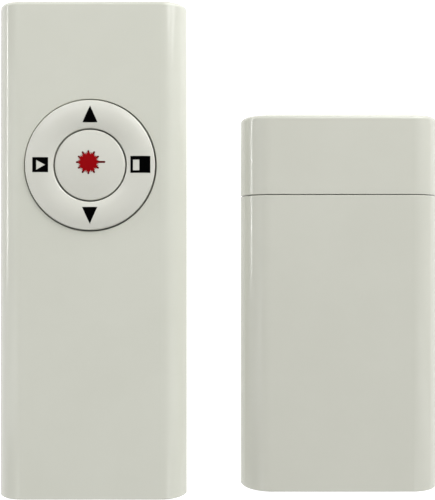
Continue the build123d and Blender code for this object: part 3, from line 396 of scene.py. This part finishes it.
def buildTurned(name, look, centre, across):
    # Metal with fine rings about an axis or along it, as it leaves a lathe or a die
    material, tree, shader, place = newMaterial(name, Metallic=1.0)
    radius = onAxis(tree, place, centre, across)
    rings = addNode(
        tree, "ShaderNodeTexNoise", {"W": radius, "Scale": look["fineness"], "Detail": 3.0},
        noise_dimensions="1D",
    ).outputs["Fac"]
    cloud = noise(tree, place, 0.6, 4.0, 0.6)
    lines = useGroup(tree, scratches, {"Vector": place, "Density": look["wear"], "Fineness": 10.0})["Mask"]
    colour = mixColour(tree, ramp(tree, cloud, 0.35, 0.7), look["colour"], look["colourTwo"])
    gloss = ramp(tree, rings, 0.3, 0.7, look["roughness"] - 0.05, look["roughness"] + 0.08)
    gloss = maths(tree, "MULTIPLY_ADD", lines, 0.15, gloss)
    relief = bump(tree, rings, look["depth"], 0.5)
    if "plus" in look:
        plus = look["plus"]
        sign = plusSign(tree, place, centre + Vector((0, plus["up"], 0)), *plus["size"])
        colour = mixColour(tree, maths(tree, "MULTIPLY", sign, plus["shade"]), colour, plus["colour"])
        gloss = maths(tree, "MULTIPLY_ADD", sign, plus["roughness"], gloss)
        relief = bump(tree, sign, -plus["depth"], 1.0, relief)
    feed(tree, shader, Base_Color=colour, Roughness=gloss, Normal=relief)
    return material


cellSteel = {
    "colour": (0.66, 0.65, 0.63, 1), "colourTwo": (0.55, 0.54, 0.52, 1), "roughness": 0.34,
    "fineness": 5.0, "depth": 0.003, "wear": 0.5,
    "plus": {"up": 4.5, "size": (1.5, 0.2, 0.12), "shade": 0.35, "colour": (0.2, 0.2, 0.19, 1),
             "roughness": 0.2, "depth": 0.05},
}
brass = {
    "colour": (0.78, 0.57, 0.25, 1), "colourTwo": (0.66, 0.46, 0.19, 1), "roughness": 0.26,
    "fineness": 9.0, "depth": 0.006, "wear": 0.5,
}
zinc = {**brass, "colour": (0.50, 0.53, 0.58, 1), "colourTwo": (0.55, 0.54, 0.46, 1), "roughness": 0.3}
aroundZ = (1, 1, 0)
alongY = (0, 1, 0)


def buildBoard(name, look, origin):
    # Solder mask over copper: patches of parallel tracks, pads with holes, and a fine weave
    material, tree, shader, place = newMaterial(name, **{"IOR": 1.5, "Coat Weight": 0.4})
    place = vectorMaths(tree, "SUBTRACT", place, tuple(origin))
    split = splitVector(tree, place)
    cells = vectorMaths(tree, "FLOOR", stretch(tree, place, (1 / look["patch"],) * 2 + (0,)))
    chance = addNode(tree, "ShaderNodeTexWhiteNoise", {"Vector": cells}).outputs["Value"]
    sideways = maths(tree, "GREATER_THAN", chance, 0.5)
    along = maths(tree, "ADD", maths(tree, "MULTIPLY", split["X"], maths(tree, "SUBTRACT", 1.0, sideways)),
                  maths(tree, "MULTIPLY", split["Y"], sideways))
    lane = maths(tree, "FRACT", maths(tree, "DIVIDE", along, look["trackPitch"]))
    offLane = maths(tree, "ABSOLUTE", maths(tree, "SUBTRACT", lane, 0.5))
    track = maths(tree, "LESS_THAN", offLane, look["trackShare"] / 2)
    track = maths(tree, "MULTIPLY", track, maths(tree, "LESS_THAN", chance, look["trackedShare"]))
    holes = addNode(
        tree, "ShaderNodeTexVoronoi", {"Vector": place, "Scale": 1 / look["holePitch"], "Randomness": 0.35},
    )
    away = maths(tree, "MULTIPLY", holes.outputs["Distance"], look["holePitch"])
    picked = addNode(tree, "ShaderNodeSeparateColor", {0: holes.outputs["Color"]}).outputs[0]
    picked = maths(tree, "GREATER_THAN", picked, look["bareShare"])
    pad = maths(tree, "MULTIPLY", maths(tree, "LESS_THAN", away, look["padRadius"]), picked)
    bore = maths(tree, "MULTIPLY", maths(tree, "LESS_THAN", away, look["boreRadius"]), picked)
    threads = [maths(tree, "SINE", maths(tree, "MULTIPLY", split[way], look["weave"])) for way in "XY"]
    weave = maths(tree, "MULTIPLY", *threads)
    colour = mixColour(tree, track, look["mask"], look["overCopper"])
    colour = mixColour(tree, pad, colour, look["pad"])
    feed(tree, shader, Base_Color=mixColour(tree, bore, colour, look["bore"]))
    bare = maths(tree, "MULTIPLY", pad, maths(tree, "SUBTRACT", 1.0, bore))
    feed(tree, shader, Metallic=bare)
    feed(tree, shader, Roughness=ramp(tree, noise(tree, place, 1.4, 3.0), 0.3, 0.7, 0.28, 0.38))
    level = maths(tree, "ADD", maths(tree, "MAXIMUM", track, pad), maths(tree, "MULTIPLY", weave, 0.12))
    feed(tree, shader, Normal=bump(tree, maths(tree, "SUBTRACT", level, bore), 0.02, 0.5))
    return material


greenBoard = {
    "mask": (0.010, 0.085, 0.030, 1), "overCopper": (0.022, 0.15, 0.045, 1), "pad": (0.80, 0.62, 0.30, 1),
    "bore": (0.01, 0.01, 0.01, 1), "patch": 3.2, "trackPitch": 0.55, "trackShare": 0.4, "trackedShare": 0.85,
    "holePitch": 2.3, "bareShare": 0.45, "padRadius": 0.28, "boreRadius": 0.13, "weave": 18.0,
}


def buildChip(name, look, node):
    # Moulded epoxy with a dimple beside its first pin
    material, tree, shader, place = newMaterial(name, IOR=1.55)
    low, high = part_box(node)
    corner = Vector((low.x, high.y, high.z)) / mm + Vector((look["inset"], -look["inset"], 0))
    away = onAxis(tree, place, corner, aroundZ)
    dimple = ramp(tree, away, look["dimple"] * 0.8, look["dimple"], -1.0, 0.0)
    grain = noise(tree, place, 9.0, 4.0, 0.7)
    tone = ramp(tree, grain, 0.3, 0.8)
    feed(tree, shader, Base_Color=mixColour(tree, tone, look["colour"], look["colourTwo"]))
    feed(tree, shader, Roughness=ramp(tree, grain, 0.3, 0.7, 0.5, 0.62))
    relief = bump(tree, grain, 0.006, 0.6)
    feed(tree, shader, Normal=bump(tree, dimple, look["dimpleDepth"], 1.0, relief))
    return material


epoxy = {
    "colour": (0.012, 0.012, 0.013, 1), "colourTwo": (0.03, 0.03, 0.031, 1), "inset": 0.75, "dimple": 0.32,
    "dimpleDepth": 0.06,
}


def buildCapacitors(name, look, node):
    # Tan ceramic with a tinned cap at both ends of each block of the row
    material, tree, shader, place = newMaterial(name, IOR=1.5)
    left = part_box(node)[0].x / mm
    across = splitVector(tree, place)["X"]
    along = maths(tree, "MODULO", maths(tree, "SUBTRACT", across, left - look["fit"]), look["pitch"])
    fromMiddle = maths(tree, "ABSOLUTE", maths(tree, "SUBTRACT", along, look["length"] / 2))
    tinned = maths(tree, "GREATER_THAN", fromMiddle, look["length"] / 2 - look["cap"])
    grain = noise(tree, place, 7.0, 4.0)
    body = mixColour(tree, grain, look["colour"], look["colourTwo"])
    feed(tree, shader, Base_Color=mixColour(tree, tinned, body, look["tin"]), Metallic=tinned)
    feed(tree, shader, Roughness=ramp(tree, grain, 0.3, 0.7, 0.3, 0.45))
    feed(tree, shader, Normal=bump(tree, grain, 0.006, 0.5))
    return material


ceramic = {
    "colour": (0.36, 0.23, 0.13, 1), "colourTwo": (0.45, 0.31, 0.19, 1), "tin": (0.66, 0.65, 0.62, 1),
    "length": 1.0, "cap": 0.24, "fit": 0.001,
}
capacitorPitch = {"board_capacitors": 1.6, "receiver_capacitors": 1.8}


# The finish of every node of the frame
nodeFinish = {
    "ivory": ["front_cover", "back_cover", "battery_door"],
    # the receiver's shells take the darker ivory, which is painted shade
    "receiver": ["receiver_top_cover", "receiver_bottom_cover", "receiver_cap"],
    "keys": ["key_ring", "laser_button"],
    "dark": ["battery_tray", "pivot_ring", "laser_bezel", "usb_tongue"],
    "film": ["dome_sheet"],
    "lens": ["laser_lens", "laser_window"],
    "spring": ["door_contact", "positive_contact", "negative_contact", "dome_up", "dome_down",
               "dome_left", "dome_right", "dome_laser"],
    "gold": ["board_antenna", "receiver_antenna", "usb_contacts", "laser_leads", "laser_diode"],
    "plug": ["usb_shell", "board_crystal", "receiver_crystal"],
}


def paint(node, material):
    slots = nodes[node].material_slots
    if not slots:
        nodes[node].data.materials.append(material)
    for slot in slots:
        slot.material = material


for finish, members in nodeFinish.items():
    for member in members:
        paint(member, finishes[finish])
for node in ("main_board", "receiver_board", "laser_board"):
    paint(node, buildBoard(node + "Green", greenBoard, middle(node)))
for node in ("radio_chip", "receiver_controller", "receiver_radio_chip"):
    paint(node, buildChip(node + "Epoxy", epoxy, node))
for node, pitch in capacitorPitch.items():
    paint(node, buildCapacitors(node + "Ceramic", {**ceramic, "pitch": pitch}, node))
for node in ("cell_lower", "cell_upper"):
    paint(node, buildTurned(node + "Steel", cellSteel, middle(node), aroundZ))
for node in ("case_screws", "receiver_screws"):
    paint(node, buildTurned(node + "Zinc", zinc, middle(node), aroundZ))
paint("laser_barrel", buildTurned("barrelBrass", brass, middle("laser_barrel"), alongY))
print("finishes:", len(bpy.data.materials), "materials")


double = 0.0005  # points nearer to each other than this become one


def addPiece(name, points, faces, body, material):
    mesh = bpy.data.meshes.new(name)
    mesh.from_pydata((points.reshape(-1, 3) * mm).tolist(), [], faces.tolist())
    mesh.materials.append(material)
    piece = bpy.data.objects.new(name, mesh)
    bpy.context.scene.collection.objects.link(piece)
    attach(piece, body)
    return piece


def joinPoles(mesh, facesUp=False):
    # Each pole's row of equal points becomes one point. A sheet of ink then gets all its faces upwards,
    # and any other surface is shaded smooth
    work = bmesh.new()
    work.from_mesh(mesh)
    bmesh.ops.remove_doubles(work, verts=work.verts, dist=double * mm)
    if facesUp:
        bmesh.ops.recalc_face_normals(work, faces=work.faces)
        if sum(face.normal.z for face in work.faces) < 0:
            bmesh.ops.reverse_faces(work, faces=work.faces)
    work.to_mesh(mesh)
    work.free()
    if not facesUp:
        mesh.polygons.foreach_set("use_smooth", [True] * len(mesh.polygons))


def thicken(piece, name, thickness):
    layer = piece.modifiers.new(name, "SOLIDIFY")
    layer.thickness = thickness * mm
    layer.offset = 1.0


def gridFaces(rows, columns):
    # Quads between neighbouring rows of a grid whose columns close into a loop
    row, column = np.meshgrid(np.arange(rows - 1), np.arange(columns), indexing="ij")
    after = (column + 1) % columns
    corners = (row * columns + column, row * columns + after,
               (row + 1) * columns + after, (row + 1) * columns + column)
    return np.stack(corners, -1).reshape(-1, 4)


def polygonReach(angle, corners, centre):
    # How far a ray at each angle from the centre goes to the sides of a convex polygon:
    # the least of (distance of the side's line) / cos(angle - direction of the side's normal)
    corners = np.array(corners) - centre
    sides = np.roll(corners, -1, axis=0) - corners
    normals = np.stack((sides[:, 1], -sides[:, 0]), -1)
    normals /= np.linalg.norm(normals, axis=1)[:, None]
    distance = (corners * normals).sum(1)
    facing = np.cos(angle)[:, None] * normals[:, 0] + np.sin(angle)[:, None] * normals[:, 1]
    reach = np.where(facing > 1e-6, distance / np.maximum(facing, 1e-6), np.inf)
    return reach.min(1)


def crownHeight(x, y):
    # The ring's crown: a circular arc over the distance from the middle of the keys
    half = (crown["outer"] - crown["inner"]) / 2
    radius = (half**2 + crown["rise"]**2) / (2 * crown["rise"])
    away = np.hypot(x, y) - (crown["outer"] + crown["inner"]) / 2
    return top("key_ring") - radius + np.sqrt(radius**2 - away**2)


def domeHeight(x, y):
    # The laser button's dome: part of a sphere that falls by its rise at the rim
    radius = (dome["rim"]**2 + dome["rise"]**2) / (2 * dome["rise"])
    return top("laser_button") - radius + np.sqrt(radius**2 - x**2 - y**2)


# The curved faces of the ring and the button, which carry the ink
crown = {"inner": 6.5, "outer": 11.5, "rise": 0.45}
dome = {"rim": 6.25, "rise": 0.55}
ink = {"thickness": 0.014, "lift": 0.004, "rays": 240, "rings": 9}


def inkPiece(name, angle, outer, inner, centre, height, body, material):
    # Rings of points from the inner reach to the outer reach, laid on the key's surface
    step = np.linspace(0, 1, ink["rings"])[:, None]
    reach = inner + (outer - inner) * step
    x = centre[0] + reach * np.cos(angle)
    y = centre[1] + reach * np.sin(angle)
    z = height(x, y) + ink["lift"]
    points = np.stack((x + keyCentre.x, y + keyCentre.y, z), -1)
    faces = gridFaces(ink["rings"], len(angle))
    piece = addPiece(name, points, faces, body, material)
    joinPoles(piece.data, facesUp=True)
    thicken(piece, "ink", ink["thickness"])


def keyMark(name, corners, hole=None):
    # A polygon of ink, whole or with a hole, seen from the middle of its hole or of its corners
    centre = np.mean(hole or corners, axis=0)
    rays = [np.linspace(-pi, pi, ink["rays"], endpoint=False)]
    for outline in (corners, hole or []):
        rays += [np.arctan2(y - centre[1], x - centre[0])[None] for x, y in outline]
    angle = np.unique(np.round(np.concatenate(rays), 6))
    outer = polygonReach(angle, corners, centre)
    inner = polygonReach(angle, hole, centre) if hole else outer * 0
    inkPiece(name, angle, outer, inner, centre, crownHeight, "key_ring", blackInkMaterial)


def rectangle(left, right, low, high):
    return [(left, low), (right, low), (right, high), (left, high)]


# Corners from the middle of the keys, anticlockwise
marks = {
    "arrow_up": ([(-1.23, 7.47), (1.43, 7.47), (0.12, 10.42)], None),
    "arrow_down": ([(0.07, -10.42), (1.40, -7.44), (-1.31, -7.44)], None),
    "play_box": (rectangle(-10.05, -7.3, -1.32, 1.31), [(-9.35, -0.92), (-7.8, -0.02), (-9.35, 0.82)]),
    "screen_box": (rectangle(7.21, 10.72, -1.45, 1.53), rectangle(7.67, 8.8, -0.99, 0.88)),
}
burst = {
    "centre": (-0.17, 0.42), "disc": 1.4, "teeth": 36, "tooth": 0.5, "spikes": 12, "spikeLength": 2.2,
    "spikeWidth": 0.35, "everySecond": 0.97, "blunting": 0.12, "rayLength": 3.0, "rayAngle": 1.0,
    "samples": 1440,
}


def burstReach(angle):
    # A disc with a saw-toothed rim; over it, straight spikes of one width, and one long ray
    saw = np.abs((angle * burst["teeth"] / (2 * pi)) % 1 * 2 - 1)
    reach = burst["disc"] + burst["tooth"] * saw
    lengths = np.full(burst["spikes"], burst["spikeLength"])
    lengths[1::2] *= burst["everySecond"]
    lengths[0] = burst["rayLength"]
    for index, length in enumerate(lengths):
        lean = radians(burst["rayAngle"]) if index == 0 else 0
        away = angle - 2 * pi * index / burst["spikes"] - lean
        ahead = np.cos(away) > 0
        straight = burst["spikeWidth"] / 2 / np.maximum(np.abs(np.sin(away)), 1e-6)
        blunt = length - burst["blunting"] * (np.abs(np.sin(away)) * length * 2 / burst["spikeWidth"]) ** 2
        spike = np.where(ahead, np.minimum(straight, blunt), 0)
        reach = np.maximum(reach, spike)
    return reach


def buildInk(name, look):
    # Pad-printed ink: dense, a little grainy, satin
    material, tree, shader, place = newMaterial(name, **{"Specular IOR Level": 0.0})
    grain = noise(tree, place, 12.0, 3.0, 0.6)
    if "tip" in look:
        centre = keyCentre + Vector((*burst["centre"], 0))
        away = onAxis(tree, place, centre, aroundZ)
        frayed = maths(tree, "MULTIPLY_ADD", grain, look["fraying"], away)
        colour = mixColour(tree, ramp(tree, frayed, *look["fade"]), look["colour"], look["tip"])
    else:
        colour = mixColour(tree, grain, look["colour"], look["colourTwo"])
    feed(tree, shader, Base_Color=colour)
    roughest = look["roughness"] + look["unevenness"]
    feed(tree, shader, Roughness=ramp(tree, grain, 0.3, 0.7, look["roughness"], roughest))
    feed(tree, shader, Normal=bump(tree, grain, 0.003, 0.5))
    return material


blackInk = {
    "colour": (0.0006, 0.0006, 0.0006, 1), "colourTwo": (0.002, 0.002, 0.002, 1), "roughness": 0.4,
    "unevenness": 0.12,
}
redInk = {
    "colour": (0.285, 0.004, 0.006, 1), "tip": (0.10, 0.001, 0.004, 1), "fade": (1.7, 2.05), "fraying": 0.25,
    "roughness": 0.4, "unevenness": 0.12,
}
blackInkMaterial = buildInk("blackInk", blackInk)
for name, (corners, hole) in marks.items():
    keyMark("mark_" + name, corners, hole)

burstAngle = np.linspace(0, 2 * pi, burst["samples"], endpoint=False)
burstRim = burstReach(burstAngle)
inkPiece("laser_burst", burstAngle, burstRim, burstRim * 0, burst["centre"], domeHeight, "laser_button",
         buildInk("redInk", redInk))
print("marks:", len(marks), "on the ring and the burst on the button")


# Legs of the chips, and the solder under pins and contacts

def buildTin(look):
    # Dull tin with a cloudy shine
    material, tree, shader, place = newMaterial("solderTin", Metallic=1.0)
    cloud = noise(tree, place, 2.5, 4.0, 0.6)
    feed(tree, shader, Base_Color=mixColour(tree, cloud, look["colour"], look["colourTwo"]))
    feed(tree, shader, Roughness=ramp(tree, cloud, 0.3, 0.7, 0.24, 0.42))
    feed(tree, shader, Normal=bump(tree, cloud, 0.01, 0.5))
    return material


tin = buildTin({"colour": (0.62, 0.61, 0.58, 1), "colourTwo": (0.47, 0.47, 0.46, 1)})
smallLegs = {
    "body": "handset", "perSide": 6, "pitch": 0.6, "width": 0.26, "reach": 0.4, "metal": 0.1,
    "out": (-0.1, 0.25, 0.5, 1.0), "up": (0.5, 0.5, 0.0, 0.0), "lift": 0.01,
}
legs = {
    "receiver_controller": {
        **smallLegs, "body": "receiver", "perSide": 8, "pitch": 0.8, "width": 0.34, "reach": 0.8,
        "metal": 0.12,
    },
    "receiver_radio_chip": {**smallLegs, "body": "receiver"},
    "radio_chip": smallLegs,
}


def chipLegs(node, look):
    # A strip for each leg: out from the package's side at half its height, down, and along the board.
    # Its points go outwards and across, turned by side * 90 degrees about the package's middle
    low, high = (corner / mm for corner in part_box(node))
    centre = (low + high) / 2
    out = (high.x - low.x) / 2 + np.array(look["out"]) * look["reach"]
    up = low.z + np.array(look["up"]) * (high.z - low.z) + look["lift"]
    row = (np.arange(look["perSide"]) - (look["perSide"] - 1) / 2) * look["pitch"]
    side, leg, step, edge = np.meshgrid(np.arange(4), row, np.arange(4), (-0.5, 0.5), indexing="ij")
    angle, across, outwards = side * pi / 2, leg + edge * look["width"], out[step]
    x = centre.x + outwards * np.cos(angle) - across * np.sin(angle)
    y = centre.y + outwards * np.sin(angle) + across * np.cos(angle)
    points = np.stack((x, y, up[step]), -1)
    first = np.arange(4 * look["perSide"])[:, None, None] * 8 + np.arange(3)[None, :, None] * 2
    faces = (first + np.array([0, 2, 3, 1])).reshape(-1, 4)
    piece = addPiece(node + "_legs", points, faces, look["body"], tin)
    thicken(piece, "metal", look["metal"])


for node, look in legs.items():
    chipLegs(node, look)


solder = {
    "round": 16, "rows": 6, "height": 0.32, "leadRadius": 0.55, "contactRadius": 0.5, "pinRadius": 0.6,
    "pinsAcross": (-3.5, -1.0, 1.0, 3.5), "pinsBehindShell": 0.7,
}


def solderDots(name, body, spots, radius):
    # Flattened half balls: radius * sin(t) out and height * cos(t) up, t from 0 to 90 degrees, and
    # then back to the middle of the base
    t = np.linspace(0, pi / 2, solder["rows"])
    out = np.concatenate((np.sin(t) * radius, [0.0]))
    up = np.concatenate((np.cos(t) * solder["height"], [0.0]))
    turn = np.linspace(0, 2 * pi, solder["round"], endpoint=False)
    spots = np.array(spots)
    x = spots[:, 0, None, None] + out[None, :, None] * np.cos(turn)
    y = spots[:, 1, None, None] + out[None, :, None] * np.sin(turn)
    z = spots[:, 2, None, None] + up[None, :, None] + 0 * turn
    faces = gridFaces(len(out), solder["round"])[:, ::-1]
    count = len(out) * solder["round"]
    faces = np.concatenate([faces + index * count for index in range(len(spots))])
    piece = addPiece(name, np.stack((x, y, z), -1), faces, body, tin)
    joinPoles(piece.data)


def under(name, places, side):
    # Points on the board below the given shares of a node's width, at its far or its near end
    low, high = (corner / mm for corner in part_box(name))
    return [(low.x + share * (high.x - low.x), high.y if side > 0 else low.y, low.z) for share in places]


contactEnds = under("positive_contact", (0.2, 0.8), 1) + under("negative_contact", (0.2, 0.8), 1)
pinsAt = (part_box("usb_shell")[0].y / mm - solder["pinsBehindShell"], top("receiver_board"))
plugPins = [(middle("usb_shell").x + across, *pinsAt) for across in solder["pinsAcross"]]
solderDots("laser_solder", "handset", under("laser_leads", (0.06, 0.94), -1), solder["leadRadius"])
solderDots("contact_solder", "handset", contactEnds, solder["contactRadius"])
solderDots("plug_solder", "receiver", plugPins, solder["pinRadius"])
print("soldered:", len(legs), "chips, leads, contacts and plug")


# Snap domes under the keys
snap = {
    "radius": 2.5, "rise": 0.4, "metal": 0.12, "dimple": 0.45, "dimpleDepth": 0.05, "pressedShare": 0.1,
    "rows": 26, "round": 64,
}
pressedBy = {
    "dome_up": "ring_rocks_up_down", "dome_down": "ring_rocks_up_down",
    "dome_left": "ring_rocks_left_right", "dome_right": "ring_rocks_left_right",
    "dome_laser": "laser_button_presses",
}


def capHeight(away, radius, rise):
    # A spherical cap of the given rise, with a small cosine dimple at its middle
    sphere = (radius**2 + rise**2) / (2 * rise)
    dip = np.where(away < snap["dimple"], (1 + np.cos(pi * away / snap["dimple"])) / 2, 0)
    return rise - sphere + np.sqrt(sphere**2 - away**2) - dip * snap["dimpleDepth"]


def snapDome(node):
    # The profile goes from the outer pole down to the rim, and back up inside, turned about the pole
    share = np.linspace(0, 1, snap["rows"])
    outside, inside = share * snap["radius"], share[::-1] * (snap["radius"] - snap["metal"])
    out = np.concatenate((outside, inside))
    up = np.concatenate((
        capHeight(outside, snap["radius"], snap["rise"]),
        capHeight(inside, snap["radius"] - snap["metal"], snap["rise"] - snap["metal"]),
    ))
    turn = np.linspace(0, 2 * pi, snap["round"], endpoint=False)
    centre, foot = middle(node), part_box(node)[0].z / mm
    points = np.stack((
        centre.x + out[:, None] * np.cos(turn), centre.y + out[:, None] * np.sin(turn),
        foot + up[:, None] + 0 * turn,
    ), -1)
    faces = gridFaces(len(out), snap["round"])[:, ::-1]
    piece = addPiece("snap_" + node, points, faces, "handset", finishes["spring"])
    joinPoles(piece.data)
    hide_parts(node)
    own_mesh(piece)


for node, joint in pressedBy.items():
    snapDome(node)
print("snap domes:", len(pressedBy))


# The floor glows, and more so for the camera alone, which keeps it white while it lights the edges little
floor = {
    "half": 3000.0, "level": -0.02, "colour": (0.5, 0.5, 0.5, 1), "colourTwo": (0.48, 0.48, 0.48, 1),
    "glow": 0.6, "cameraGlow": 0.27,
}


def buildFloor():
    # One square, its corners anticlockwise so that it faces up
    mesh = bpy.data.meshes.new("floor")
    half = floor["half"]
    corners = np.array(rectangle(-half, half, -half, half))
    points = np.column_stack((corners, np.full(4, floor["level"]))) * mm
    mesh.from_pydata(points.tolist(), [], [(0, 1, 2, 3)])
    piece = bpy.data.objects.new("floor", mesh)
    bpy.context.scene.collection.objects.link(piece)
    material, tree, shader, place = newMaterial(
        "floorWhite", **{"Roughness": 0.7, "Emission Color": (1, 1, 1, 1), "Specular IOR Level": 0.1},
    )
    grain = noise(tree, place, 0.02, 3.0)
    feed(tree, shader, Base_Color=mixColour(tree, grain, floor["colour"], floor["colourTwo"]))
    seen = addNode(tree, "ShaderNodeLightPath").outputs["Is Camera Ray"]
    glow = maths(tree, "MULTIPLY_ADD", seen, floor["cameraGlow"], floor["glow"])
    feed(tree, shader, Emission_Strength=glow)
    mesh.materials.append(material)
    return piece


buildFloor()

# Cards that stand in a circle round the pair and face it: direction, height above the floor's level
# in degrees, distance, width and height, and strength. Azimuth 0 is +X, the view's right. A card with
# a shift then stands off along +Y, still turned the same way
circle = {"elevation": 32, "away": 500, "size": (300, 480)}
circlePower = {0: 0.3, 30: 0.4, 60: 4.0, 120: 1.28, 180: 0.86, 210: 0.3, 240: 1.33, 300: 1.31, 330: 0.57}
cards = {
    "northEast": {"azimuth": 45, "elevation": 28, "away": 505, "size": (300, 300), "power": 2.95},
    "leftLow": {"azimuth": 180, "elevation": 5, "away": 500, "size": (700, 60), "power": 1.3},
    "edgeStrip": {
        "azimuth": 180, "elevation": 11.4, "away": 500, "size": (640, 28), "shift": 297, "power": 13.0,
    },
}
for azimuth, power in circlePower.items():
    cards[f"circle{azimuth}"] = {"azimuth": azimuth, "power": power, **circle}


def addCard(name, look):
    data = bpy.data.lights.new(name, "AREA")
    data.shape = "RECTANGLE"
    data.size, data.size_y = (side * mm for side in look["size"])
    data.energy = look["power"] * data.size * data.size_y * pi
    azimuth, elevation = radians(look["azimuth"]), radians(look["elevation"])
    level = cos(elevation)
    towards = Vector((level * cos(azimuth), level * sin(azimuth), sin(elevation)))
    light = bpy.data.objects.new(name, data)
    light.location = towards * look["away"] * mm
    light.rotation_euler = (-light.location).to_track_quat("-Z", "Y").to_euler()
    light.location.y += look.get("shift", 0) * mm
    light.visible_camera = False
    bpy.context.scene.collection.objects.link(light)


for name, look in cards.items():
    addCard(name, look)

# The room past the floor looks as pale as the floor, but gives hardly any light
room = {"light": 0.01, "seen": 0.94}
world = bpy.data.worlds.new("studio")
world.use_nodes = True
background = world.node_tree.nodes["Background"]
background.inputs["Color"].default_value = (1, 1, 1, 1)
seenDirectly = addNode(world.node_tree, "ShaderNodeLightPath").outputs["Is Camera Ray"]
roomGlow = maths(world.node_tree, "MULTIPLY_ADD", seenDirectly, room["seen"], room["light"])
world.node_tree.links.new(roomGlow, background.inputs["Strength"])
bpy.context.scene.world = world
print("stage:", len(cards), "cards of light")
